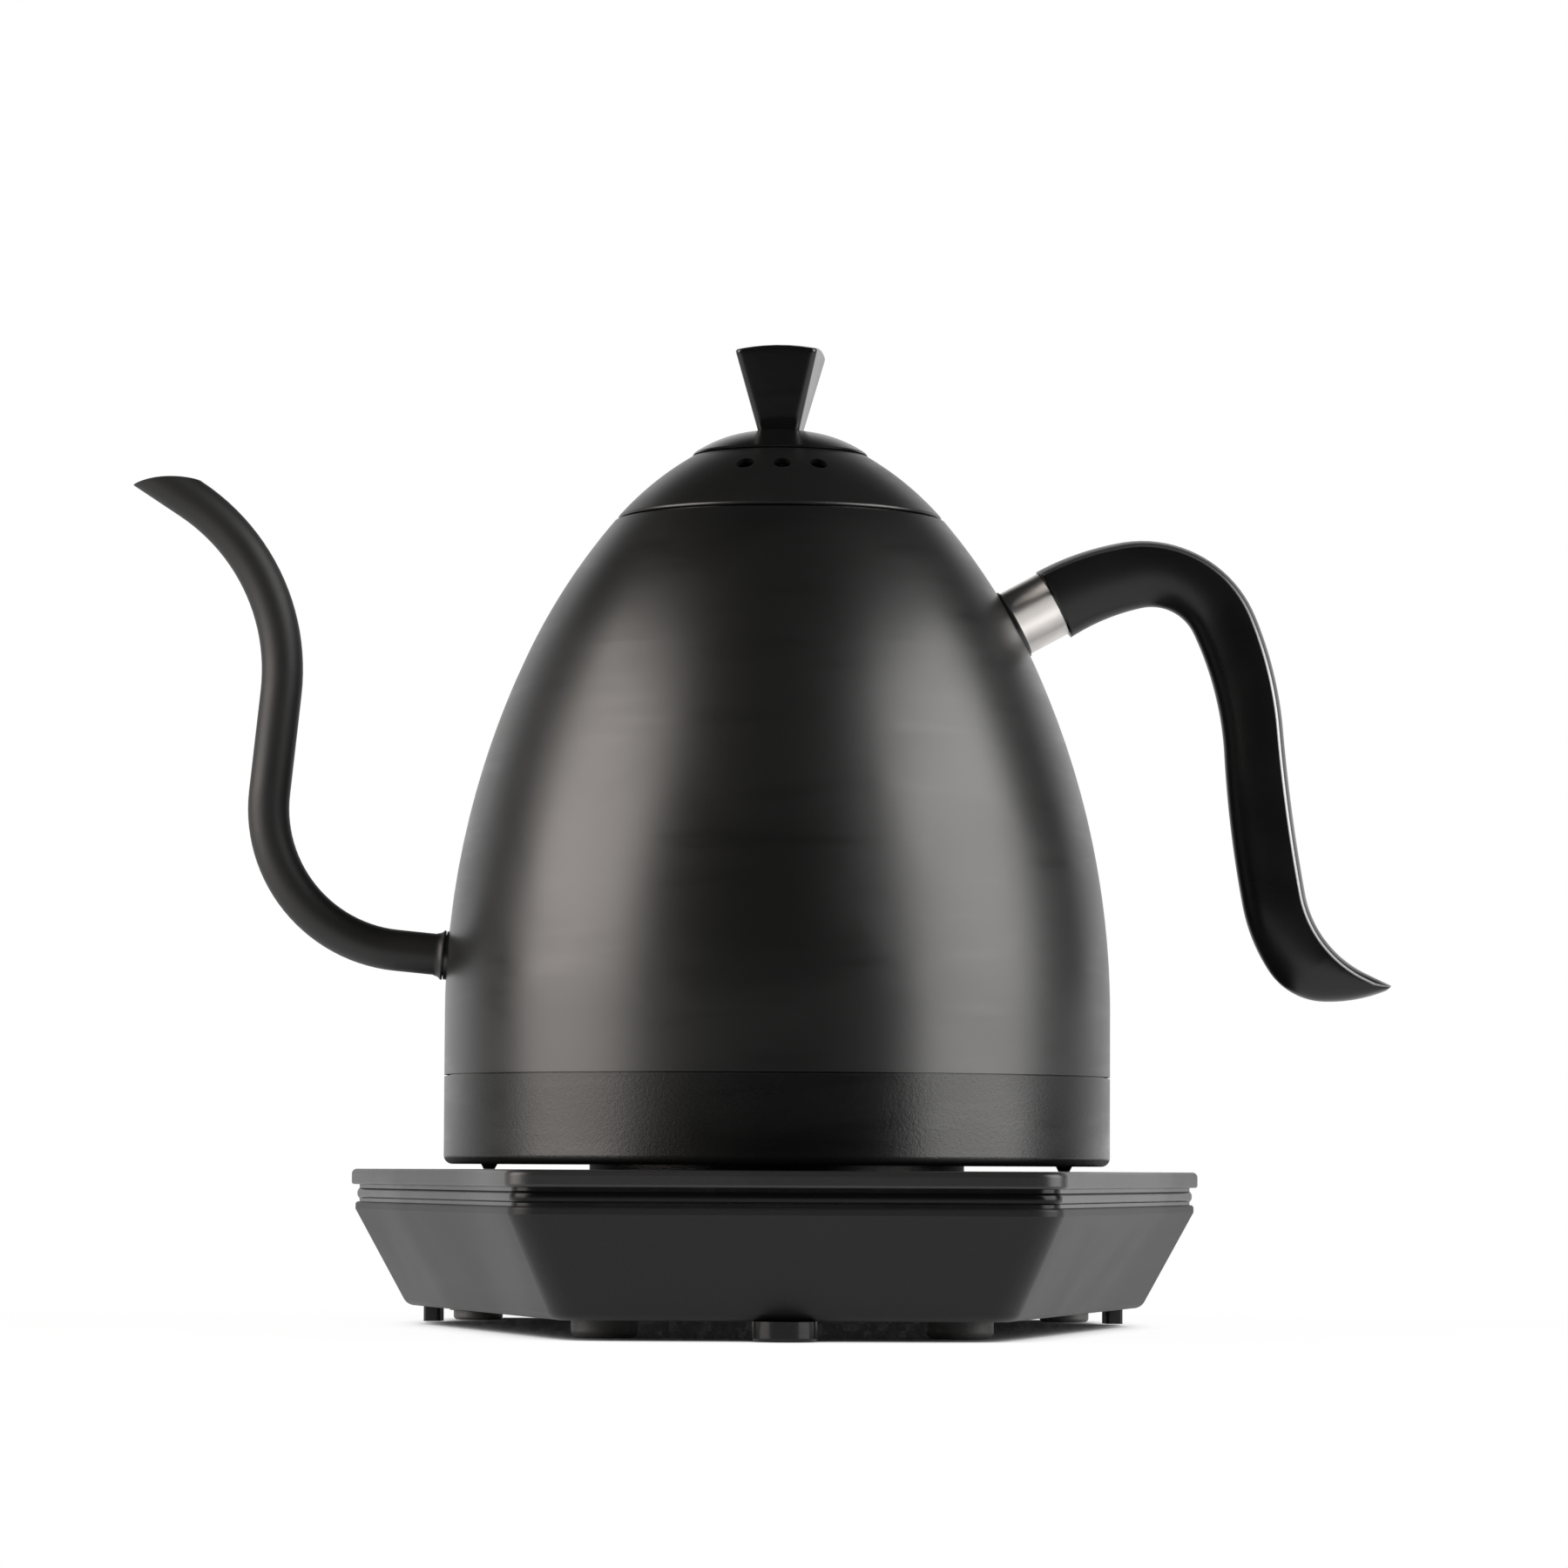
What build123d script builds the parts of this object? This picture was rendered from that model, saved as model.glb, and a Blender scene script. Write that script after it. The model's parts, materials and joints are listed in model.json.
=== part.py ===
from build123d import *

import os
from math import asin, cos, degrees, radians, sin

os.makedirs("parts", exist_ok=True)

# Gooseneck electric kettle on its power base. Millimetres, +Z up.
# It is drawn about the kettle's axis, and each finished piece is set off by kettle_axis, so that the
# origin is on the worktop under the middle of the whole. The spout points to -X, the handle to +X,
# and the base's control ledge is at the front, towards -Y.
kettle_axis = (4.04, 12.0)

# Heights above the worktop
foot_height = 4.3
shell_lip = 26.7
shell_top = 28.4
band_low = 28.9
band_top = 31.8
plate_low = 32.4
base_top = 36.0
seat_top = 38.4
kettle_low = 37.2
ring_top = 57.6
belly_top = 71.7
mouth = 185.3

# Base plan: an elongated hexagon, narrow in front
front_half_width = 57.7
front_reach = 128.0
widest_half_width = 98.9
widest_back = 23.6
rear_half_width = 86.0
rear_reach = 104.0
plan_corner = 7.0
shell_step = 0.9
shell_taper = 12.0
shell_wall = 2.4
shell_floor = 2.5
shell_bottom_edge, shell_lip_edge = 3.0, 0.7
band_step = 1.3
band_round = 1.3
rim_step = 1.8
rim_wall = 2.8
boss_join = 20.0
boss_radius = 5.0
seat_radius = 43.0

# Feet, screws and cord-wrap tabs, as places on the base's underside
front_foot_x, front_foot_y, front_foot_radius = 38.3, -84.0, 7.3
rear_foot_x, rear_foot_y, rear_foot_radius = 70.5, 70.0, 6.8
centre_foot_y, centre_foot_radius = -112.0, 6.9
tab_x, tab_y, tab_turn = 80.0, 40.0, 9.1
tab_width, tab_depth, tab_low = 4.0, 5.6, 0.3
front_foot_places = [(-front_foot_x, front_foot_y), (front_foot_x, front_foot_y)]
rear_foot_places = [(-rear_foot_x, rear_foot_y), (rear_foot_x, rear_foot_y)]
screw_places = front_foot_places + rear_foot_places
screw_radius = 1.6
screw_head_radius = 3.2
screw_gap = 0.05

# Cord outlet at the rear
outlet_height = 16.0
gland_radius, gland_bore, gland_length = 5.5, 3.3, 16.5
outlet_plane = Plane((0, rear_reach - 1.5, outlet_height), z_dir=(0, -1, 0))

# Control ledge in front of the kettle
panel_y = -102.0
panel_length, panel_depth, panel_thickness, panel_corner = 104.0, 24.0, 1.4, 6.0
panel_gap = 0.2
window_length, window_depth, window_corner = 40.0, 14.0, 2.5
button_radius = 5.2
button_gap = 0.3
button_travel = 0.8
button_places = {"power_button": -44.0, "hold_button": -29.0, "minus_button": 29.0, "plus_button": 44.0}
button_sink, button_edge = 0.1, 0.6
flange_low, flange_reach, flange_thickness = 30.8, 1.4, 1.5
stem_low, stem_radius = 27.1, 2.0
board_top = 22.0
board_thickness, board_corner, board_post_radius = 1.6, 2.0, 2.5
control_board_length, control_board_depth = 100.0, 25.0
power_board_low, power_board_length, power_board_depth, power_board_y = 12.0, 92.0, 48.0, 61.0
switch_side, switch_height, plunger_radius, plunger_top = 6.0, 3.5, 1.7, 26.1

# Turn-anywhere connector on the axis
skirt_radius = 20.0
well_floor = 36.0
tower_outer, tower_inner, tower_top = 11.5, 9.0, 48.0

# Kettle vessel
body_radius = 76.4
body_wall = 1.0
flank_radius, flank_turn = 195.0, 24.9
shoulder_radius, shoulder_turn = 142.1, 15.1
collar_radius, collar_low = 33.6, 178.5
spigot_radius, spigot_low = 73.4, 50.0
floor_low, floor_top = 57.0, 58.2
seam_gap, seam_depth, ring_low_edge = 0.35, 1.2, 2.0
cover_low, cover_top, cover_ledge, rib_top = 37.4, 39.0, 70.0, 41.0
hub_low, hub_top, hub_radius = 40.8, 42.4, 45.0
post_circle, post_radius = 63.4, 3.2
post_angles = (45, 165, 285)
nub_circle, nub_radius, nub_taper = 66.0, 2.0, 28.0
probe_x, probe_y = -27.0, 24.0

# Spout: a bent tube in the plane of the handle
spout_radius, spout_wall = 4.75, 0.8
spout_root = (-76.56, 85.05)
spout_heading = 174.4
spout_root_run, spout_rise_run, spout_tip_run = 11.2, 23.2, 24.0
spout_low_radius, spout_low_turn = 32.85, -90.4
spout_high_radius, spout_high_turn = 47.6, 62.6
collar_start, collar_rise, collar_bend, collar_end, collar_flare = 0.2, 0.55, 1.15, 2.1, 0.95
beak_tip, beak_crown, beak_heel = (-150.4, 192.7), (-141.0, 194.9), (-131.0, 193.6)

# Handle: ferrule square to the shoulder, then the grip
ferrule_foot = (54.83, 162.54)
ferrule_angle = 28.5
ferrule_radius, grip_level = 7.8, 9.45
gasket_thickness, seat_sink, seat_boss = 0.3, 0.6, 1.6
core_radius, core_length, core_gap = 5.2, 25.0, 0.2
grub_radius, grub_gap, grub_key = 1.2, 0.1, 0.65
grip_start_back, grip_start_finger = (59.37, 174.34), (67.47, 159.3)
back_heading, finger_heading = 28.8, 33.2
# The grip's back and finger side are tangent arcs, each a radius and a turn
back_arcs = [(64.7, -18.4), (28.2, -77.9), (88.3, -17.6), (399.0, 5.5), (25.1, 54.1)]
back_tail_run = 6.4
finger_arcs = [(49.4, -20.6), (10.7, -77.4), (75.9, -22.0), (271.0, 7.4)]
finger_arcs += [(41.1, 22.7), (15.7, 55.0), (35.8, 23.2)]
grip_stations = 14
crease_half_width, crease_crown, crease_edge = 6.6, 1.6, 0.3
tip_half_width = 4.4
tail_thickness = 14.0

# Lid
lid_radius, lid_low = 37.9, 185.75
lid_shoulder = (30.5, 193.2)
lid_flange_low, lid_flange_top = 185.4, 186.25
cap_radius, cap_low = 20.2, 200.6
lid_wall, lid_edge = 1.2, 0.5
vent_radius, vent_circle, vent_spread = 2.1, 26.3, 18.5
vent_height, vent_slope = 196.4, 0.83
skirt_outer = 32.8
cap_flat_radius, cap_flat, cap_dome = 7.6, 206.2, (14.5, 204.3)
knob_foot_side, knob_corner_side = 9.5, 19.0
knob_corner_height, knob_crown = 224.5, 226.5
knob_turn = -8.0
knob_corner = 0.06
knob_top_edge = 0.7


def keep(piece, name):
    # Set a finished piece in its place, label it and write its file
    placed = piece.part.moved(Location((*kettle_axis, 0)))
    placed.label = name
    export_step(placed, f"parts/{name}.step")


def base_outline(height, inset):
    # The base's plan at a height, drawn in from the top plate's edge by an inset
    corners = [
        (-front_half_width, -front_reach),
        (front_half_width, -front_reach),
        (widest_half_width, widest_back),
        (rear_half_width, rear_reach),
        (-rear_half_width, rear_reach),
        (-widest_half_width, widest_back),
    ]
    with BuildSketch(Plane.XY.offset(height)) as outline:
        Polygon(*corners, align=None)
        if inset > 0:
            offset(amount=-inset, kind=Kind.INTERSECTION)
        fillet(outline.vertices(), plan_corner)
    return outline.sketch


def discs(height, radius, places):
    # Equal circles at places on a level plane
    with BuildSketch(Plane.XY.offset(height)) as sketch:
        with Locations(*places):
            Circle(radius)
    return sketch.sketch


def slab(height, length, depth, corner, centre):
    # A rounded rectangle on a level plane
    with BuildSketch(Plane.XY.offset(height)) as sketch:
        with Locations(centre):
            RectangleRounded(length, depth, corner)
    return sketch.sketch


def section(*outline):
    # Half of a turned piece's section, as (radius, height) points
    with BuildSketch(Plane.XZ) as sketch:
        with BuildLine():
            Polyline(*outline, close=True)
        make_face()
    return sketch.sketch


def ring_on(plane, outer, inner=0.0):
    # A disc, or a ring, on any plane
    with BuildSketch(plane) as sketch:
        Circle(outer)
        if inner > 0:
            Circle(inner, mode=Mode.SUBTRACT)
    return sketch.sketch


def polar(radius, angle):
    return (radius * cos(radians(angle)), radius * sin(radians(angle)))


# Power base: tub, band and top plate

with BuildPart() as base_shell:
    extrude(base_outline(shell_lip, shell_step), amount=shell_top - shell_lip)
    loft([base_outline(foot_height, shell_step + shell_taper), base_outline(shell_lip, shell_step)])
    fillet(base_shell.edges().group_by(Axis.Z)[0], shell_bottom_edge)
    fillet(base_shell.edges().group_by(Axis.Z)[-1], shell_lip_edge)
    inner_low = base_outline(foot_height + shell_floor, shell_step + shell_taper + shell_wall)
    inner_high = base_outline(shell_lip, shell_step + shell_wall)
    loft([inner_low, inner_high], mode=Mode.SUBTRACT)
    extrude(inner_high, amount=shell_top - shell_lip, mode=Mode.SUBTRACT)
    # Screw bosses, with head pockets that the feet cover
    extrude(discs(foot_height, boss_radius, screw_places), amount=boss_join - foot_height)
    extrude(discs(foot_height, screw_head_radius + 0.2, screw_places), amount=6, mode=Mode.SUBTRACT)
    shank_holes = discs(foot_height, screw_radius + screw_gap, screw_places)
    extrude(shank_holes, amount=boss_join - foot_height, mode=Mode.SUBTRACT)
    # Posts under the two boards
    control_posts = [(x, panel_y + y) for x in (-36, 36) for y in (-9, 9)]
    post_low = foot_height + 1
    post_rise = board_top - board_thickness - post_low
    extrude(discs(post_low, board_post_radius, control_posts), amount=post_rise)
    power_posts = [(x, y) for x in (-36, 36) for y in (42, 80)]
    extrude(discs(post_low, board_post_radius, power_posts), amount=power_board_low - post_low)
    # Cord-wrap tabs under the widest corners
    for side in (-1, 1):
        with BuildSketch(Plane.XY.offset(tab_low)):
            with Locations(Location((side * tab_x, tab_y), side * tab_turn)):
                RectangleRounded(tab_width, tab_depth, 0.8)
        extrude(amount=foot_height + 1 - tab_low)
    # Cord outlet in the rear wall
    extrude(ring_on(outlet_plane, gland_radius + 0.05), amount=gland_length, mode=Mode.SUBTRACT)
keep(base_shell, "base_shell")

with BuildPart() as base_band:
    extrude(base_outline(band_low, band_step), amount=band_top - band_low)
    fillet(base_band.edges().group_by(Axis.Z)[0] + base_band.edges().group_by(Axis.Z)[-1], band_round)
    extrude(base_outline(shell_top, rim_step), amount=plate_low - shell_top)
    extrude(base_outline(shell_top, rim_step + rim_wall), amount=plate_low - shell_top, mode=Mode.SUBTRACT)
keep(base_band, "base_band")

with BuildPart() as base_top_plate:
    extrude(base_outline(plate_low, 0), amount=base_top - plate_low)
    fillet(base_top_plate.edges().group_by(Axis.Z)[-1], 1.2)
    fillet(base_top_plate.edges().group_by(Axis.Z)[0], 0.6)
    # Raised round seat that the kettle's hollow foot drops over
    extrude(ring_on(Plane.XY.offset(base_top), seat_radius), amount=seat_top - base_top)
    fillet(base_top_plate.edges().group_by(Axis.Z)[-1], 1.0)
    # Hollow underside inside the rim
    pocket = base_outline(plate_low, rim_step + rim_wall + 0.3)
    extrude(pocket, amount=1.0, mode=Mode.SUBTRACT)
    extrude(discs(boss_join, boss_radius, screw_places), amount=base_top - 1.5 - boss_join)
    pilot_holes = discs(boss_join, screw_radius + screw_gap, screw_places)
    extrude(pilot_holes, amount=12, mode=Mode.SUBTRACT)
    extrude(ring_on(Plane.XY.offset(plate_low), skirt_radius + 0.1), amount=seat_top, mode=Mode.SUBTRACT)
    # Panel recess, window and button holes in the front ledge
    panel_cut = slab(base_top - panel_thickness, panel_length, panel_depth, panel_corner, (0, panel_y))
    extrude(panel_cut, amount=panel_thickness, mode=Mode.SUBTRACT)
    window_cut = slab(plate_low, window_length - 4, window_depth - 4, 1.0, (0, panel_y))
    extrude(window_cut, amount=base_top - plate_low, mode=Mode.SUBTRACT)
    button_centres = [(x, panel_y) for x in button_places.values()]
    button_cuts = discs(plate_low, button_radius + button_gap, button_centres)
    extrude(button_cuts, amount=base_top - plate_low, mode=Mode.SUBTRACT)
keep(base_top_plate, "base_top_plate")

with BuildPart() as base_screws:
    extrude(discs(foot_height + 4, screw_head_radius, screw_places), amount=2)
    extrude(discs(foot_height + 6, screw_radius, screw_places), amount=boss_join + 10 - foot_height - 6)
keep(base_screws, "base_screws")

with BuildPart() as front_feet:
    extrude(discs(0, front_foot_radius, front_foot_places), amount=foot_height)
    fillet(front_feet.edges().group_by(Axis.Z)[0], 1.6)
keep(front_feet, "front_feet")

with BuildPart() as rear_feet:
    extrude(discs(0, rear_foot_radius - 0.9, rear_foot_places), amount=foot_height)
    extrude(discs(2.2, rear_foot_radius, rear_foot_places), amount=foot_height - 2.2)
    fillet(rear_feet.edges().group_by(Axis.Z)[0], 0.8)
keep(rear_feet, "rear_feet")

with BuildPart() as centre_foot:
    extrude(discs(0, centre_foot_radius, [(0, centre_foot_y)]), amount=foot_height)
    fillet(centre_foot.edges().group_by(Axis.Z)[0], 0.8)
keep(centre_foot, "centre_foot")

with BuildPart() as cord_gland:
    extrude(ring_on(outlet_plane, gland_radius + 1.1, gland_bore), amount=1.5)
    extrude(ring_on(outlet_plane, gland_radius, gland_bore), amount=gland_length)
    extrude(ring_on(outlet_plane.offset(gland_length - 2), gland_radius + 1.9, gland_bore), amount=2)
keep(cord_gland, "cord_gland")

# Connector in the middle of the base

with BuildPart() as base_connector:
    outline = section(
        (0, plate_low - 2.2),
        (26, plate_low - 2.2),
        (26, plate_low),
        (skirt_radius, plate_low),
        (skirt_radius, seat_top),
        (tower_outer, seat_top),
        (tower_outer, tower_top - 1),
        (tower_outer - 1, tower_top),
        (tower_inner, tower_top),
        (tower_inner, well_floor),
        (0, well_floor),
    )
    revolve(outline, axis=Axis.Z)
keep(base_connector, "base_connector")

with BuildPart() as connector_contacts:
    extrude(ring_on(Plane.XY.offset(well_floor), 2.2), amount=10)
    fillet(connector_contacts.edges().group_by(Axis.Z)[-1], 1.4)
    extrude(ring_on(Plane.XY.offset(well_floor), 6.2, 5.4), amount=8)
keep(connector_contacts, "connector_contacts")

# Control ledge: panel, window, boards and push buttons

with BuildPart() as control_panel:
    panel_low = base_top - panel_thickness
    sheet = slab(panel_low, panel_length - panel_gap, panel_depth - panel_gap, panel_corner, (0, panel_y))
    extrude(sheet, amount=panel_thickness)
    window_hole = slab(panel_low, window_length, window_depth, window_corner, (0, panel_y))
    extrude(window_hole, amount=panel_thickness, mode=Mode.SUBTRACT)
    panel_button_holes = discs(panel_low, button_radius + button_gap, button_centres)
    extrude(panel_button_holes, amount=panel_thickness, mode=Mode.SUBTRACT)
keep(control_panel, "control_panel")

with BuildPart() as display_window:
    pane = slab(panel_low, window_length - panel_gap, window_depth - panel_gap, window_corner, (0, panel_y))
    extrude(pane, amount=panel_thickness)
keep(display_window, "display_window")

with BuildPart() as control_board:
    board_low = board_top - board_thickness
    board = slab(board_low, control_board_length, control_board_depth, board_corner, (0, panel_y))
    extrude(board, amount=board_thickness)
keep(control_board, "control_board")

with BuildPart() as display_module:
    extrude(slab(board_top, 35, 9, 0.8, (0, panel_y)), amount=plate_low + 1.6 - board_top)
keep(display_module, "display_module")

with BuildPart() as button_switches:
    for centre in button_centres:
        extrude(slab(board_top, switch_side, switch_side, 0.6, centre), amount=switch_height)
    extrude(discs(board_top, plunger_radius, button_centres), amount=plunger_top - board_top)
keep(button_switches, "button_switches")

for button_name, button_x in button_places.items():
    with BuildPart() as button:
        place = [(button_x, panel_y)]
        extrude(discs(flange_low, button_radius, place), amount=base_top - button_sink - flange_low)
        fillet(button.edges().group_by(Axis.Z)[-1], button_edge)
        # Flange that stops under the plate, and the stem over its switch
        extrude(discs(flange_low, button_radius + flange_reach, place), amount=flange_thickness)
        extrude(discs(stem_low, stem_radius, place), amount=flange_low - stem_low)
    keep(button, button_name)

with BuildPart() as power_board:
    board = slab(power_board_low, power_board_length, power_board_depth, board_corner, (0, power_board_y))
    extrude(board, amount=board_thickness)
keep(power_board, "power_board")

with BuildPart() as power_relay:
    extrude(slab(power_board_low + board_thickness, 20, 16, 1, (-26, 62)), amount=15)
    fillet(power_relay.edges().group_by(Axis.Z)[-1], 0.8)
keep(power_relay, "power_relay")

with BuildPart() as power_transformer:
    extrude(slab(power_board_low + board_thickness, 24, 20, 1, (24, 62)), amount=13)
    extrude(slab(power_board_low + board_thickness, 14, 26, 1, (24, 62)), amount=16)
keep(power_transformer, "power_transformer")

# Kettle foot: ring, cover, socket and heater

with BuildPart() as bottom_ring:
    outline = section(
        (body_radius, ring_top - seam_gap),
        (body_radius, kettle_low),
        (spigot_radius, kettle_low),
        (spigot_radius, cover_top),
        (cover_ledge, cover_top),
        (cover_ledge, rib_top),
        (spigot_radius + 0.2, rib_top),
        (spigot_radius + 0.2, ring_top),
        (body_radius - seam_depth, ring_top),
        (body_radius - seam_depth, ring_top - seam_gap),
    )
    revolve(outline, axis=Axis.Z)
    low_edges = bottom_ring.edges().filter_by(GeomType.CIRCLE).group_by(Axis.Z)[0]
    fillet(low_edges.sort_by(SortBy.RADIUS)[-1], ring_low_edge)
keep(bottom_ring, "bottom_ring")

post_places = [polar(post_circle, angle) for angle in post_angles]
with BuildPart() as bottom_cover:
    outline = section(
        (skirt_radius + 0.3, hub_low),
        (hub_radius, hub_low),
        (hub_radius, cover_low),
        (spigot_radius - 0.2, cover_low),
        (spigot_radius - 0.2, cover_top),
        (cover_ledge - 0.2, cover_top),
        (cover_ledge - 0.2, rib_top),
        (cover_ledge - 1.4, rib_top),
        (cover_ledge - 1.4, cover_top),
        (hub_radius + 1.6, cover_top),
        (hub_radius + 1.6, hub_top),
        (skirt_radius + 0.3, hub_top),
    )
    revolve(outline, axis=Axis.Z)
    extrude(discs(cover_low, 4.6, post_places), amount=4.6)
    extrude(discs(cover_low, screw_head_radius + 0.2, post_places), amount=2.6, mode=Mode.SUBTRACT)
    extrude(discs(cover_low, screw_radius + screw_gap, post_places), amount=4.6, mode=Mode.SUBTRACT)
    # Four nubs that stand on the base
    nubs = [polar(nub_circle, 90 * turn) for turn in range(4)]
    extrude(discs(cover_low, nub_radius, nubs), amount=base_top + 0.05 - cover_low, taper=nub_taper)
keep(bottom_cover, "bottom_cover")

with BuildPart() as cover_screws:
    extrude(discs(cover_low + 0.6, screw_head_radius, post_places), amount=2)
    extrude(discs(cover_low + 2.6, screw_radius, post_places), amount=12)
keep(cover_screws, "cover_screws")

with BuildPart() as kettle_socket:
    outline = section(
        (0, 47.0),
        (2.7, 47.0),
        (2.7, 38.0),
        (4.9, 38.0),
        (4.9, 45.0),
        (6.7, 45.0),
        (6.7, 38.0),
        (8.5, 38.0),
        (8.5, 49.0),
        (12.1, 49.0),
        (12.1, hub_low),
        (skirt_radius, hub_low),
        (skirt_radius, hub_top + 0.1),
        (24.0, hub_top + 0.1),
        (24.0, 44.5),
        (skirt_radius, 44.5),
        (skirt_radius, 52.0),
        (0, 52.0),
    )
    revolve(outline, axis=Axis.Z)
keep(kettle_socket, "kettle_socket")

with BuildPart() as heater_plate:
    outline = section(
        (0, floor_low),
        (71.3, floor_low),
        (71.3, 51.0),
        (72.3, 51.0),
        (72.3, floor_top),
        (0, floor_top),
    )
    revolve(outline, axis=Axis.Z)
    # Threaded posts that the bottom cover is screwed to
    extrude(discs(cover_low + 4.6, post_radius, post_places), amount=floor_low - cover_low - 4.6)
    extrude(discs(cover_low + 4.6, screw_radius + screw_gap, post_places), amount=11, mode=Mode.SUBTRACT)
    extrude(discs(floor_low, 2.6, [(probe_x, probe_y)]), amount=2, mode=Mode.SUBTRACT)
keep(heater_plate, "heater_plate")

with BuildPart() as heat_spreader:
    extrude(discs(floor_low - 3, 58, [(0, 0)]), amount=3)
    extrude(discs(floor_low - 3, 2.6, [(probe_x, probe_y)]), amount=3, mode=Mode.SUBTRACT)
keep(heat_spreader, "heat_spreader")

element_radius, element_tube, element_level = 50.0, 3.4, floor_low - 3 - 3.4
with BuildPart() as heating_element:
    with BuildLine(Plane.XY.offset(element_level)) as element_line:
        CenterArc((0, 0), element_radius, -70, 320)
    with BuildSketch(Plane(element_line.line @ 0, z_dir=element_line.line % 0)):
        Circle(element_tube)
    sweep(path=element_line.line)
    # Cold tails that take the leads
    tails = [polar(element_radius, angle) for angle in (-70, 250)]
    extrude(discs(element_level - 9, 1.6, tails), amount=9)
keep(heating_element, "heating_element")

with BuildPart() as dry_boil_cutout:
    extrude(discs(floor_low - 10, 8.5, [(30, 20)]), amount=7)
    extrude(slab(floor_low - 6.5, 22, 4, 1, (30, 20)), amount=0.9)
keep(dry_boil_cutout, "dry_boil_cutout")

with BuildPart() as temperature_probe:
    extrude(discs(floor_low - 12, 2.5, [(probe_x, probe_y)]), amount=26)
    fillet(temperature_probe.edges().group_by(Axis.Z)[-1], 1.6)
    with BuildSketch(Plane.XY.offset(floor_low - 6.5)):
        with Locations((probe_x, probe_y)):
            RegularPolygon(5, 6)
    extrude(amount=3.5)
keep(temperature_probe, "temperature_probe")

with BuildPart() as probe_seal:
    with BuildSketch(Plane.XY.offset(floor_top)):
        with Locations((probe_x, probe_y)):
            Circle(4.6)
            Circle(2.55, mode=Mode.SUBTRACT)
    extrude(amount=1.6)
keep(probe_seal, "probe_seal")

# Vessel: drawn steel body with a rolled mouth, and seats for the spout and the handle

root_plane = Plane(
    (spout_root[0], 0, spout_root[1]),
    x_dir=(0, 1, 0),
    z_dir=(cos(radians(spout_heading)), 0, sin(radians(spout_heading))),
)
collar_plane = Plane(
    root_plane.origin,
    x_dir=(0, 1, 0),
    z_dir=(sin(radians(spout_heading)), 0, -cos(radians(spout_heading))),
)
ferrule_plane = Plane(
    (ferrule_foot[0], 0, ferrule_foot[1]),
    x_dir=(0, 1, 0),
    z_dir=(cos(radians(ferrule_angle)), 0, sin(radians(ferrule_angle))),
)

seat_plane = ferrule_plane.offset(-seat_sink)

with BuildPart() as kettle_body:
    with BuildSketch(Plane.XZ):
        with BuildLine():
            belly = Line((body_radius, ring_top), (body_radius, belly_top))
            flank = JernArc(belly @ 1, (0, 1), flank_radius, flank_turn)
            shoulder = JernArc(flank @ 1, flank % 1, shoulder_radius, shoulder_turn)
            inner_radius = body_radius - body_wall
            inner_belly = Line((inner_radius, ring_top + body_wall), (inner_radius, belly_top))
            inner_flank = JernArc(inner_belly @ 1, (0, 1), flank_radius - body_wall, flank_turn)
            inner_shoulder = JernArc(
                inner_flank @ 1, inner_flank % 1, shoulder_radius - body_wall, shoulder_turn
            )
            Polyline(
                shoulder @ 1,
                (collar_radius, mouth),
                (collar_radius, collar_low),
                (collar_radius + body_wall, collar_low),
                (collar_radius + body_wall, mouth - body_wall),
                inner_shoulder @ 1,
            )
            Polyline(
                inner_belly @ 0,
                (spigot_radius - body_wall, ring_top + body_wall),
                (spigot_radius - body_wall, spigot_low),
                (spigot_radius, spigot_low),
                (spigot_radius, ring_top),
                belly @ 0,
            )
        make_face()
    revolve(axis=Axis.Z)
    # Drawn neck for the spout, bored through
    extrude(ring_on(root_plane.offset(-1.0), spout_radius + 0.85), amount=0.9)
    extrude(ring_on(root_plane.offset(-6), spout_radius + 0.05), amount=10, mode=Mode.SUBTRACT)
    # Flat seat for the handle, sunk a little into the shoulder, with a boss behind it
    extrude(ring_on(seat_plane.offset(-seat_boss), ferrule_radius + 0.5), amount=seat_boss)
    extrude(ring_on(seat_plane, ferrule_radius + 0.15), amount=4, mode=Mode.SUBTRACT)
keep(kettle_body, "kettle_body")

# Spout and its collar

with BuildPart() as spout:
    with BuildLine() as spout_line:
        root_direction = (cos(radians(spout_heading)), sin(radians(spout_heading)))
        root_end = (
            spout_root[0] + spout_root_run * root_direction[0],
            spout_root[1] + spout_root_run * root_direction[1],
        )
        spout_start = (spout_root[0] - root_direction[0], spout_root[1] - root_direction[1])
        root_run = Line(spout_start, root_end)
        low_bend = JernArc(root_run @ 1, root_run % 1, spout_low_radius, spout_low_turn)
        rise = Line(low_bend @ 1, (low_bend @ 1) + (low_bend % 1) * spout_rise_run)
        high_bend = JernArc(rise @ 1, rise % 1, spout_high_radius, spout_high_turn)
        Line(high_bend @ 1, (high_bend @ 1) + (high_bend % 1) * spout_tip_run)
    spout_path = spout_line.line.moved(Plane.XZ.location)
    sweep(ring_on(root_plane.offset(-1.0), spout_radius, spout_radius - spout_wall), path=spout_path)
    # Beak cut nearly level, a little crowned
    with BuildSketch(Plane.XZ):
        with BuildLine():
            lip = ThreePointArc(beak_tip, beak_crown, beak_heel)
            Polyline(lip @ 1, (-100, 240), (-200, 240), (-200, 192.7), lip @ 0)
        make_face()
    extrude(amount=12, both=True, mode=Mode.SUBTRACT)
keep(spout, "spout")

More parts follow.
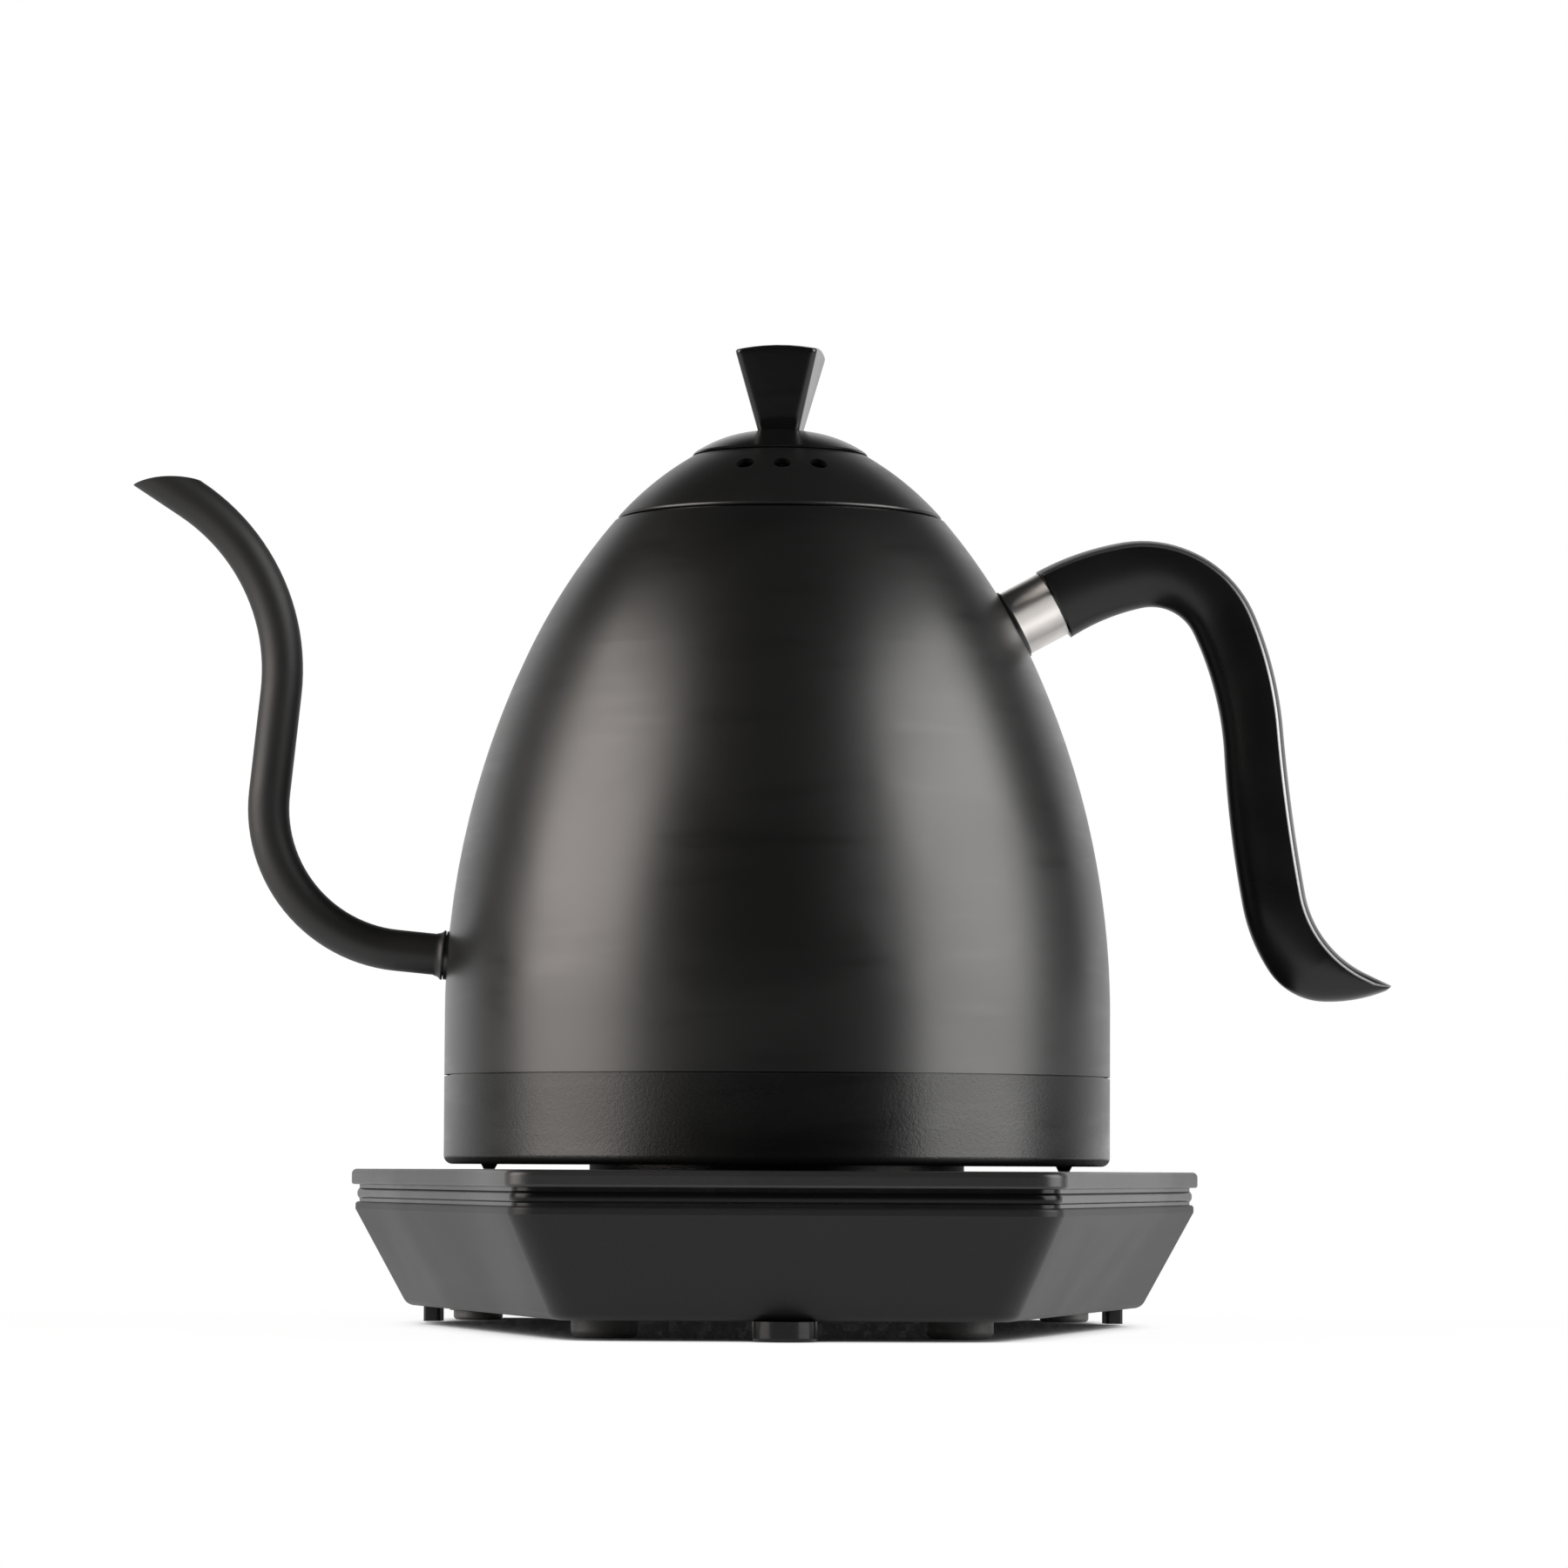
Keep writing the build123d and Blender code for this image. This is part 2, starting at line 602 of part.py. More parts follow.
with BuildPart() as spout_collar:
    with BuildSketch(collar_plane):
        with BuildLine():
            foot, neck = spout_radius + collar_flare, spout_radius + 0.15
            flare = ThreePointArc((foot, collar_rise), (neck + 0.25, collar_bend), (neck, collar_end))
            Polyline(
                flare @ 1,
                (spout_radius + 0.03, collar_end),
                (spout_radius + 0.03, collar_start),
                (foot, collar_start),
                flare @ 0,
            )
        make_face()
    revolve(axis=Axis(root_plane.origin, root_plane.z_dir))
keep(spout_collar, "spout_collar")

# Handle: gasket, ferrule, core stud, grub screw and grip

screw_level = grip_level + 8.0
screw_plane = Plane(
    ferrule_plane.offset(screw_level).origin,
    x_dir=(0, 1, 0),
    z_dir=(sin(radians(ferrule_angle)), 0, -cos(radians(ferrule_angle))),
)

with BuildPart() as handle_gasket:
    extrude(ring_on(seat_plane, ferrule_radius, core_radius + 0.1), amount=gasket_thickness)
keep(handle_gasket, "handle_gasket")

with BuildPart() as handle_ferrule:
    ferrule_base = seat_plane.offset(gasket_thickness)
    ferrule_length = grip_level + seat_sink - gasket_thickness
    extrude(ring_on(ferrule_base, ferrule_radius, core_radius + 0.1), amount=ferrule_length)
keep(handle_ferrule, "handle_ferrule")

with BuildPart() as handle_core:
    extrude(ring_on(seat_plane, core_radius), amount=seat_sink + core_length)
    chamfer(handle_core.edges().sort_by(Axis.X)[-1], 0.8)
    screw_hole = ring_on(screw_plane.offset(core_radius - 2.4), grub_radius + grub_gap)
    extrude(screw_hole, amount=4, mode=Mode.SUBTRACT)
keep(handle_core, "handle_core")

with BuildPart() as handle_screw:
    extrude(ring_on(screw_plane.offset(core_radius - 2.2), grub_radius), amount=4.6)
    with BuildSketch(screw_plane.offset(core_radius + 2.4)):
        RegularPolygon(grub_key, 6)
    extrude(amount=-1.6, mode=Mode.SUBTRACT)
keep(handle_screw, "handle_screw")


def arc_chain(start, heading, arcs):
    # Arcs that follow on from each other, from a point and a heading; gives back the last one
    point = start
    direction = (cos(radians(heading)), sin(radians(heading)))
    for radius, turn in arcs:
        arc = JernArc(point, direction, radius, turn)
        point, direction = arc @ 1, arc % 1
    return arc


def grip_section(back, finger):
    # One cross-section of the grip: an oval finger side that meets a crowned back at two creases
    across = back - finger
    thickness = across.length
    thinness = min(1.0, thickness / tail_thickness)
    half_width = tip_half_width + (crease_half_width - tip_half_width) * thinness
    crease = thickness / 2 - min(crease_crown, 0.3 * thickness)
    depth = crease + thickness / 2
    middle = (back + finger) / 2
    plane = Plane((middle.X, 0, middle.Y), x_dir=(0, 1, 0), z_dir=(across.Y, 0, -across.X))
    with BuildSketch(plane) as face:
        with BuildLine():
            ThreePointArc((half_width, crease), (0, thickness / 2), (-half_width, crease))
            EllipticalCenterArc((0, crease), half_width, depth, 180, arc_size=90)
            EllipticalCenterArc((0, crease), half_width, depth, 270, arc_size=90)
        make_face()
        fillet(face.vertices().sort_by(Axis.Y)[-2:], min(crease_edge, 0.1 * thickness))
    return face.sketch


with BuildLine() as back_line:
    tail_arc = arc_chain(grip_start_back, back_heading, back_arcs)
    Line(tail_arc @ 1, (tail_arc @ 1) + (tail_arc % 1) * back_tail_run)
with BuildLine() as finger_line:
    arc_chain(grip_start_finger, finger_heading, finger_arcs)
back_curve, finger_curve = back_line.wire(), finger_line.wire()

with BuildPart() as handle_grip:
    sections = [grip_section(back_curve @ 0, finger_curve @ 0)]
    for station in range(1, grip_stations):
        finger = finger_curve @ (station / grip_stations)
        back = back_curve.distance_to_with_closest_points(finger)[1]
        sections.append(grip_section(back, finger))
    sections.append(grip_section(back_curve @ 1, finger_curve @ 1))
    loft(sections)
    core_bore = ring_on(ferrule_plane.offset(grip_level - 2), core_radius + 0.05)
    extrude(core_bore, amount=core_length + core_gap - grip_level + 2, mode=Mode.SUBTRACT)
    extrude(ring_on(screw_plane, grub_radius + grub_gap), amount=12, mode=Mode.SUBTRACT)
keep(handle_grip, "handle_grip")

# Lid: shell with steam vents, cap, knob and the skirt that drops into the mouth

with BuildPart() as lid_shell:
    with BuildSketch(Plane.XZ):
        with BuildLine():
            slope = ThreePointArc((lid_radius, lid_low), lid_shoulder, (cap_radius, cap_low))
            inner_slope = ThreePointArc(
                (lid_radius - lid_wall, lid_low),
                (lid_shoulder[0] - 0.8, lid_shoulder[1] - 0.9),
                (cap_radius - 0.7, cap_low - lid_wall),
            )
            Line(slope @ 0, inner_slope @ 0)
            Polyline(slope @ 1, (2.6, cap_low), (2.6, cap_low - lid_wall), inner_slope @ 1)
        make_face()
    revolve(axis=Axis.Z)
    rim_edges = lid_shell.edges().filter_by(GeomType.CIRCLE).group_by(Axis.Z)[0]
    fillet(rim_edges.sort_by(SortBy.RADIUS)[-1], lid_edge)
    for step in (-1, 0, 1):
        x, y = polar(vent_circle, -90 + step * vent_spread)
        outward = vent_slope / vent_circle
        with BuildSketch(Plane((x, y, vent_height), z_dir=(outward * x, outward * y, 1))):
            Circle(vent_radius)
        extrude(amount=4, both=True, mode=Mode.SUBTRACT)
keep(lid_shell, "lid_shell")

with BuildPart() as lid_cap:
    with BuildSketch(Plane.XZ):
        with BuildLine():
            rim = (cap_radius - 0.3, cap_low + 0.8)
            dome = ThreePointArc(rim, cap_dome, (cap_flat_radius, cap_flat))
            Polyline(
                dome @ 1,
                (2.6, cap_flat),
                (2.6, cap_low),
                (cap_radius - 1.2, cap_low),
                (cap_radius, cap_low + 0.3),
                dome @ 0,
            )
        make_face()
    revolve(axis=Axis.Z)
keep(lid_cap, "lid_cap")

with BuildPart() as lid_knob:
    spread = (knob_corner_side - knob_foot_side) / (knob_corner_height - cap_flat)
    knob_top_side = knob_foot_side + spread * (knob_crown - cap_flat)
    for height, side in ((cap_flat, knob_foot_side), (knob_crown, knob_top_side)):
        with BuildSketch(Plane.XY.offset(height)):
            RectangleRounded(side, side, knob_corner * side, rotation=knob_turn)
    loft()
    # Domed top
    dome_drop = knob_crown - knob_corner_height
    dome_radius = (knob_corner_side**2 / 2 + dome_drop**2) / (2 * dome_drop)
    with BuildSketch(Plane.XZ):
        with BuildLine():
            reach = knob_top_side * 0.8
            fall = dome_radius - (dome_radius**2 - reach**2) ** 0.5
            edge_line = ThreePointArc(
                (0, knob_crown),
                (reach / 2, knob_crown - dome_radius + (dome_radius**2 - reach**2 / 4) ** 0.5),
                (reach, knob_crown - fall),
            )
            Polyline(edge_line @ 1, (reach, knob_crown + 4), (0, knob_crown + 4), edge_line @ 0)
        make_face()
    revolve(axis=Axis.Z, mode=Mode.SUBTRACT)
    fillet(lid_knob.faces().sort_by(Axis.Z)[-1].edges(), knob_top_edge)
    extrude(ring_on(Plane.XY.offset(cap_flat), 2.45), amount=12.5, mode=Mode.SUBTRACT)
keep(lid_knob, "lid_knob")

with BuildPart() as knob_screw:
    extrude(ring_on(Plane.XY.offset(cap_low - lid_wall - 2.4), 4.5), amount=2.4)
    extrude(ring_on(Plane.XY.offset(cap_low - lid_wall), 2.4), amount=18)
keep(knob_screw, "knob_screw")

with BuildPart() as lid_inner:
    outline = section(
        (0, 187.6),
        (31.8, 187.6),
        (31.8, 177.0),
        (skirt_outer, 177.0),
        (skirt_outer, lid_flange_low),
        (35.6, lid_flange_low),
        (35.6, lid_flange_top),
        (skirt_outer, lid_flange_top),
        (skirt_outer, 188.4),
        (0, 188.4),
    )
    revolve(outline, axis=Axis.Z)
    # Steam passages
    extrude(discs(187, 2.5, [polar(18, 60 * turn) for turn in range(6)]), amount=2, mode=Mode.SUBTRACT)
keep(lid_inner, "lid_inner")

with BuildPart() as lid_seal:
    outline = section(
        (skirt_outer, 179.5),
        (33.3, 180.2),
        (33.0, 181.0),
        (33.3, 181.8),
        (skirt_outer, 182.5),
    )
    revolve(outline, axis=Axis.Z)
keep(lid_seal, "lid_seal")
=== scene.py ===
import json
import math

import bpy
from mathutils import Matrix, Vector


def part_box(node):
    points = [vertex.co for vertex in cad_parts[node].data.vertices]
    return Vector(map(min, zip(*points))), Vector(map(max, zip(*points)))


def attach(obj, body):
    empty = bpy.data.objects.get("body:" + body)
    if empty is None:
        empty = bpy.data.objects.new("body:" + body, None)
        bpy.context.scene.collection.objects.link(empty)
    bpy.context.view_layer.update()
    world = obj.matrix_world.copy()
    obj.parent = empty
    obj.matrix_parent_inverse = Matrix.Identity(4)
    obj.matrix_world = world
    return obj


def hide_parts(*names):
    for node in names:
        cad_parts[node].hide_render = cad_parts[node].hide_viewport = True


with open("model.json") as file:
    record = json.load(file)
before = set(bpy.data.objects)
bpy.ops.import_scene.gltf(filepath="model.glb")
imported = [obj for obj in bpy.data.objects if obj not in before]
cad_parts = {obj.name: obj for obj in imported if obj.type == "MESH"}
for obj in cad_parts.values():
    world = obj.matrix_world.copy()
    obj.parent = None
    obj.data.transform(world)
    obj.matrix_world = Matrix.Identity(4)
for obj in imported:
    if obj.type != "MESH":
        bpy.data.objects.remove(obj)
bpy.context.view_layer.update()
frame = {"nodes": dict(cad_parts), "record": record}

nodes = frame["nodes"]
scene = bpy.context.scene
scene.view_settings.view_transform = "Standard"
ringLow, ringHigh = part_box("bottom_ring")
kettleAxis = Vector(((ringLow[0] + ringHigh[0]) / 2, (ringLow[1] + ringHigh[1]) / 2, 0))
print("frame loaded:", len(nodes), "nodes")

# Camera: low and far in front of the kettle's axis, tilted up a little
cameraValues = {
    "distance": 1.410,
    "height": 0.0366,
    "azimuth": -0.93,
    "aimRight": 0.0505,  # degrees right of the kettle's axis
    "pitchUp": 3.586,
    "roll": 0.27,
    "lens": 140.7,
    "sensorWidth": 36.0,
    "clipRange": (0.05, 60.0),
}


def makeCamera(values):
    data = bpy.data.cameras.new("photoCamera")
    data.lens = values["lens"]
    data.sensor_width = values["sensorWidth"]
    data.clip_start, data.clip_end = values["clipRange"]
    camera = bpy.data.objects.new("photoCamera", data)
    scene.collection.objects.link(camera)
    azimuth = math.radians(values["azimuth"])
    reach = values["distance"]
    place = kettleAxis + Vector((math.sin(azimuth) * reach, -math.cos(azimuth) * reach, values["height"]))
    turn = Matrix.Rotation(azimuth - math.radians(values["aimRight"]), 4, "Z")
    tilt = Matrix.Rotation(math.radians(90 + values["pitchUp"]), 4, "X")
    roll = Matrix.Rotation(math.radians(values["roll"]), 4, "Z")
    camera.matrix_world = Matrix.Translation(place) @ turn @ tilt @ roll
    scene.camera = camera


makeCamera(cameraValues)
print("camera placed")

# Small helpers for node trees


def addNode(tree, kind, **settings):
    node = tree.nodes.new(kind)
    for name, value in settings.items():
        setattr(node, name, value)
    return node


def setInputs(node, **values):
    for name, value in values.items():
        node.inputs[name.replace("_", " ")].default_value = value
    return node


def join(tree, source, target):
    tree.links.new(source, target)


def newGroup(name, inputs, outputs):
    tree = bpy.data.node_groups.new(name, "ShaderNodeTree")
    for label, default in inputs.items():
        socket = tree.interface.new_socket(name=label, in_out="INPUT", socket_type="NodeSocketFloat")
        socket.default_value = default
    for label, kind in outputs.items():
        tree.interface.new_socket(name=label, in_out="OUTPUT", socket_type=kind)
    return tree, addNode(tree, "NodeGroupInput"), addNode(tree, "NodeGroupOutput")


def setOrJoin(tree, value, socket):
    # A number or a colour is set on the socket; anything else is another node's output
    if isinstance(value, (int, float)):
        socket.default_value = value
    elif isinstance(value, tuple):
        socket.default_value = (*value, 1.0)
    else:
        join(tree, value, socket)


def mathNode(tree, operation, first, second, clamp=False):
    node = addNode(tree, "ShaderNodeMath", operation=operation, use_clamp=clamp)
    setOrJoin(tree, first, node.inputs[0])
    setOrJoin(tree, second, node.inputs[1])
    return node.outputs[0]


fullRange = (0.0, 1.0)


def spread(tree, value, fromRange, toRange):
    # Carries one range of a value smoothly over to another
    node = addNode(tree, "ShaderNodeMapRange", interpolation_type="SMOOTHSTEP")
    join(tree, value, node.inputs["Value"])
    for label, number in zip(("From Min", "From Max", "To Min", "To Max"), (*fromRange, *toRange)):
        node.inputs[label].default_value = number
    return node.outputs["Result"]


# Moulded or sprayed grain: a height for the bump, and a tone that lightens and darkens a little
grainShape = {"fineTimes": 2.7, "coarseDetail": 2.0, "fineDetail": 1.0, "toneRange": (0.3, 0.7)}


def makeGrainGroup(values):
    tree, start, end = newGroup(
        "surfaceGrain",
        {"Grain per metre": 1400.0, "Fine share": 0.4},
        {"Height": "NodeSocketFloat", "Tone": "NodeSocketFloat"},
    )
    place = addNode(tree, "ShaderNodeTexCoord").outputs["Object"]
    coarse = setInputs(addNode(tree, "ShaderNodeTexNoise"), Detail=values["coarseDetail"], Roughness=0.55)
    join(tree, place, coarse.inputs["Vector"])
    join(tree, start.outputs["Grain per metre"], coarse.inputs["Scale"])
    fine = setInputs(addNode(tree, "ShaderNodeTexNoise"), Detail=values["fineDetail"], Roughness=0.5)
    join(tree, place, fine.inputs["Vector"])
    fineScale = mathNode(tree, "MULTIPLY", start.outputs["Grain per metre"], values["fineTimes"])
    join(tree, fineScale, fine.inputs["Scale"])
    blend = addNode(tree, "ShaderNodeMix")
    join(tree, start.outputs["Fine share"], blend.inputs["Factor"])
    join(tree, coarse.outputs["Fac"], blend.inputs["A"])
    join(tree, fine.outputs["Fac"], blend.inputs["B"])
    join(tree, blend.outputs["Result"], end.inputs["Height"])
    join(tree, spread(tree, blend.outputs["Result"], values["toneRange"], fullRange), end.inputs["Tone"])
    return tree


# Cloudy variation from handling: broad patches and faint wipe streaks
handlingShape = {
    "patchRange": (0.35, 0.68),
    "patchDistortion": 0.6,
    "wipeTurn": (0.3, 0.2, 0.5),
    "wipeStretch": (1.0, 1.0, 9.0),
    "wipeTimes": 1.6,
    "wipeRange": (0.5, 0.75),
}


def makeHandlingGroup(values):
    tree, start, end = newGroup(
        "handlingPatches",
        {"Patches per metre": 18.0},
        {"Patches": "NodeSocketFloat", "Wipes": "NodeSocketFloat"},
    )
    place = addNode(tree, "ShaderNodeTexCoord").outputs["Object"]
    cloud = setInputs(addNode(tree, "ShaderNodeTexNoise"), Detail=3.0, Roughness=0.5)
    cloud.inputs["Distortion"].default_value = values["patchDistortion"]
    join(tree, place, cloud.inputs["Vector"])
    join(tree, start.outputs["Patches per metre"], cloud.inputs["Scale"])
    join(tree, spread(tree, cloud.outputs["Fac"], values["patchRange"], fullRange), end.inputs["Patches"])
    stretch = addNode(tree, "ShaderNodeMapping")
    setInputs(stretch, Rotation=values["wipeTurn"], Scale=values["wipeStretch"])
    join(tree, place, stretch.inputs["Vector"])
    wipe = setInputs(addNode(tree, "ShaderNodeTexNoise"), Detail=2.0)
    join(tree, stretch.outputs["Vector"], wipe.inputs["Vector"])
    wipeScale = mathNode(tree, "MULTIPLY", start.outputs["Patches per metre"], values["wipeTimes"])
    join(tree, wipeScale, wipe.inputs["Scale"])
    join(tree, spread(tree, wipe.outputs["Fac"], values["wipeRange"], fullRange), end.inputs["Wipes"])
    return tree


# Rubbed edges: where the rounded normal leaves the true one
edgeShape = {
    "bentRange": (0.02, 0.25),
    "breaksPerMetre": 160.0,
    "breakRange": (0.3, 0.7),
    "leastLeft": 0.35,  # share of the rub that is left where it is broken
}


def makeEdgeGroup(values):
    tree, start, end = newGroup(
        "rubbedEdges",
        {"Reach": 0.0006, "Amount": 1.0},
        {"Mask": "NodeSocketFloat"},
    )
    rounded = addNode(tree, "ShaderNodeBevel", samples=4)
    join(tree, start.outputs["Reach"], rounded.inputs["Radius"])
    normal = addNode(tree, "ShaderNodeNewGeometry").outputs["Normal"]
    meet = addNode(tree, "ShaderNodeVectorMath", operation="DOT_PRODUCT")
    join(tree, rounded.outputs["Normal"], meet.inputs[0])
    join(tree, normal, meet.inputs[1])
    bent = mathNode(tree, "SUBTRACT", 1.0, meet.outputs["Value"], clamp=True)
    place = addNode(tree, "ShaderNodeTexCoord").outputs["Object"]
    patchy = setInputs(addNode(tree, "ShaderNodeTexNoise"), Scale=values["breaksPerMetre"], Detail=3.0)
    join(tree, place, patchy.inputs["Vector"])
    broken = spread(tree, patchy.outputs["Fac"], values["breakRange"], (values["leastLeft"], 1.0))
    mask = mathNode(tree, "MULTIPLY", spread(tree, bent, values["bentRange"], fullRange), broken)
    join(tree, mathNode(tree, "MULTIPLY", mask, start.outputs["Amount"], clamp=True), end.inputs["Mask"])
    return tree


# Fine parallel scratches, round an axis that leans towards +X
brushShape = {"detail": 2.0, "toneRange": (0.25, 0.75)}


def makeBrushGroup(values):
    tree, start, end = newGroup(
        "brushedLines",
        {"Lines per metre": 9000.0, "Lean": 0.0, "Round share": 0.02},
        {"Height": "NodeSocketFloat", "Tone": "NodeSocketFloat"},
    )
    place = addNode(tree, "ShaderNodeTexCoord").outputs["Object"]
    lean = addNode(tree, "ShaderNodeVectorRotate", rotation_type="Y_AXIS")
    join(tree, place, lean.inputs["Vector"])
    join(tree, start.outputs["Lean"], lean.inputs["Angle"])
    squeeze = addNode(tree, "ShaderNodeCombineXYZ")
    join(tree, start.outputs["Round share"], squeeze.inputs["X"])
    join(tree, start.outputs["Round share"], squeeze.inputs["Y"])
    squeeze.inputs["Z"].default_value = 1.0
    scaled = addNode(tree, "ShaderNodeVectorMath", operation="MULTIPLY")
    join(tree, lean.outputs["Vector"], scaled.inputs[0])
    join(tree, squeeze.outputs["Vector"], scaled.inputs[1])
    lines = setInputs(addNode(tree, "ShaderNodeTexNoise"), Detail=values["detail"], Roughness=0.6)
    join(tree, scaled.outputs["Vector"], lines.inputs["Vector"])
    join(tree, start.outputs["Lines per metre"], lines.inputs["Scale"])
    join(tree, lines.outputs["Fac"], end.inputs["Height"])
    join(tree, spread(tree, lines.outputs["Fac"], values["toneRange"], fullRange), end.inputs["Tone"])
    return tree


grainGroup = makeGrainGroup(grainShape)
handlingGroup = makeHandlingGroup(handlingShape)
edgeGroup = makeEdgeGroup(edgeShape)
brushGroup = makeBrushGroup(brushShape)
print("shared surface effects made")


def placeGroup(tree, group, **values):
    node = addNode(tree, "ShaderNodeGroup", node_tree=group)
    return setInputs(node, **values)


def mixColor(tree, factor, first, second):
    # The colour sockets of a Mix node are its inputs 6 and 7 and its output 2
    node = addNode(tree, "ShaderNodeMix", data_type="RGBA")
    setOrJoin(tree, factor, node.inputs["Factor"])
    setOrJoin(tree, first, node.inputs[6])
    setOrJoin(tree, second, node.inputs[7])
    return node.outputs[2]


def newMaterial(name):
    material = bpy.data.materials.new(name)
    material.use_nodes = True
    tree = material.node_tree
    tree.nodes.clear()
    shader = addNode(tree, "ShaderNodeBsdfPrincipled")
    output = addNode(tree, "ShaderNodeOutputMaterial")
    join(tree, shader.outputs["BSDF"], output.inputs["Surface"])
    return material, tree, shader


def scaledColor(color, factor):
    return tuple(min(1.0, channel * factor) for channel in color)


def addBump(tree, shader, height, values):
    bump = setInputs(addNode(tree, "ShaderNodeBump"), Strength=values["bump"], Distance=values["bumpDepth"])
    join(tree, height, bump.inputs["Height"])
    join(tree, bump.outputs["Normal"], shader.inputs["Normal"])


# What a coated or moulded finish has unless it says otherwise
coatedUsual = {
    "fineShare": 0.4,
    "patches": 18.0,
    "toneRange": 0.16,
    "patchTone": 0.5,  # share of the tone range by which patches are lighter
    "wipe": 0.03,
    "specular": 0.5,
}


def makeCoated(name, ownValues):
    # Coated or moulded surface: grain, handling and rubbed edges over one colour
    values = {**coatedUsual, **ownValues}
    material, tree, shader = newMaterial(name)
    grain = placeGroup(tree, grainGroup, Grain_per_metre=values["grain"], Fine_share=values["fineShare"])
    handling = placeGroup(tree, handlingGroup, Patches_per_metre=values["patches"])
    color, deep = values["color"], values["toneRange"]
    toned = mixColor(tree, grain.outputs["Tone"], scaledColor(color, 1 - deep), scaledColor(color, 1 + deep))
    patchColor = scaledColor(color, 1 + deep * values["patchTone"])
    cloudy = mixColor(tree, handling.outputs["Patches"], toned, patchColor)
    if "edgeReach" in values:
        edges = placeGroup(tree, edgeGroup, Reach=values["edgeReach"], Amount=values["edgeAmount"])
        cloudy = mixColor(tree, edges.outputs["Mask"], cloudy, values["edgeColor"])
    if "paintedHighlightColor" in values:
        # A painted highlight along a line that the piece's mesh marks
        line = addNode(tree, "ShaderNodeAttribute", attribute_type="GEOMETRY", attribute_name="paintedCreaseHighlight")
        cloudy = mixColor(tree, line.outputs["Fac"], cloudy, values["paintedHighlightColor"])
    join(tree, cloudy, shader.inputs["Base Color"])
    smoothest, roughest = values["rough"]
    patchRough = spread(tree, handling.outputs["Patches"], fullRange, (roughest, smoothest))
    wiped = mathNode(tree, "MULTIPLY", handling.outputs["Wipes"], values["wipe"])
    join(tree, mathNode(tree, "SUBTRACT", patchRough, wiped, clamp=True), shader.inputs["Roughness"])
    addBump(tree, shader, grain.outputs["Height"], values)
    shader.inputs["Specular IOR Level"].default_value = values["specular"]
    return material


# What a bare metal has unless it says otherwise
metalUsual = {
    "lean": 0.0,
    "roundShare": 0.02,
    "patches": 30.0,
    "lineTones": (0.93, 1.04),
    "patchTone": 0.95,
    "bumpDepth": 0.00002,
}


def makeMetal(name, ownValues):
    # Bare metal with drawn or turned lines
    values = {**metalUsual, **ownValues}
    material, tree, shader = newMaterial(name)
    lean = math.radians(values["lean"])
    lines = placeGroup(tree, brushGroup, Lines_per_metre=values["lines"], Lean=lean)
    setInputs(lines, Round_share=values["roundShare"])
    handling = placeGroup(tree, handlingGroup, Patches_per_metre=values["patches"])
    color = values["color"]
    darkLine, lightLine = (scaledColor(color, tone) for tone in values["lineTones"])
    toned = mixColor(tree, lines.outputs["Tone"], darkLine, lightLine)
    stain = values.get("stain", scaledColor(color, values["patchTone"]))
    join(tree, mixColor(tree, handling.outputs["Patches"], toned, stain), shader.inputs["Base Color"])
    shader.inputs["Metallic"].default_value = 1.0
    join(tree, spread(tree, lines.outputs["Tone"], fullRange, values["rough"]), shader.inputs["Roughness"])
    addBump(tree, shader, lines.outputs["Height"], values)
    if "drawnOut" in values:
        # Turned lines draw reflections out along the axis that they run round
        along = addNode(tree, "ShaderNodeCombineXYZ")
        along.inputs["X"].default_value, along.inputs["Z"].default_value = math.sin(lean), math.cos(lean)
        turned = addNode(tree, "ShaderNodeVectorTransform", convert_from="OBJECT", convert_to="WORLD")
        join(tree, along.outputs["Vector"], turned.inputs["Vector"])
        join(tree, turned.outputs["Vector"], shader.inputs["Tangent"])
        shader.inputs["Anisotropic"].default_value = values["drawnOut"]
    return material


# Matte black coat of the vessel, the spout and the lid
coatValues = {
    "color": (0.003, 0.003, 0.003),
    "specular": 0.62,
    "grain": 2600.0,
    "toneRange": 0.12,
    "rough": (0.32, 0.37),
    "bump": 0.16,
    "bumpDepth": 0.00006,
    "edgeReach": 0.0006,
    "edgeAmount": 0.25,
    "edgeColor": (0.03, 0.03, 0.031),
}
bodyCoat = makeCoated("matteBlackCoat", coatValues)
lidCoat = makeCoated("lidBlackCoat", {**coatValues, "color": (0.0045, 0.0045, 0.0045), "patches": 30.0})
capCoat = makeCoated("capBlackCoat", {**coatValues, "rough": (0.19, 0.25), "patches": 30.0})
spoutValues = {
    **coatValues,
    "color": (0.004, 0.0039, 0.0038),
    "specular": 0.52,
    "rough": (0.5, 0.56),
    "bump": 0.012,
}
spoutCoat = makeCoated("spoutBlackCoat", spoutValues)

knobValues = {
    "color": (0.003, 0.003, 0.0031),
    "specular": 0.58,
    "grain": 1900.0,
    "rough": (0.19, 0.25),
    "bump": 0.3,
    "bumpDepth": 0.00008,
}
knobCoat = makeCoated("satinKnobCoat", knobValues)

# Fine leather-like grain of the moulded foot ring
footValues = {
    "color": (0.002, 0.002, 0.002),
    "specular": 0.42,
    "grain": 1150.0,
    "fineShare": 0.45,
    "toneRange": 0.22,
    "rough": (0.27, 0.35),
    "bump": 0.45,
    "bumpDepth": 0.00012,
    "edgeReach": 0.0008,
    "edgeAmount": 0.3,
    "edgeColor": (0.03, 0.03, 0.03),
}
footPlastic = makeCoated("grainedFootPlastic", footValues)

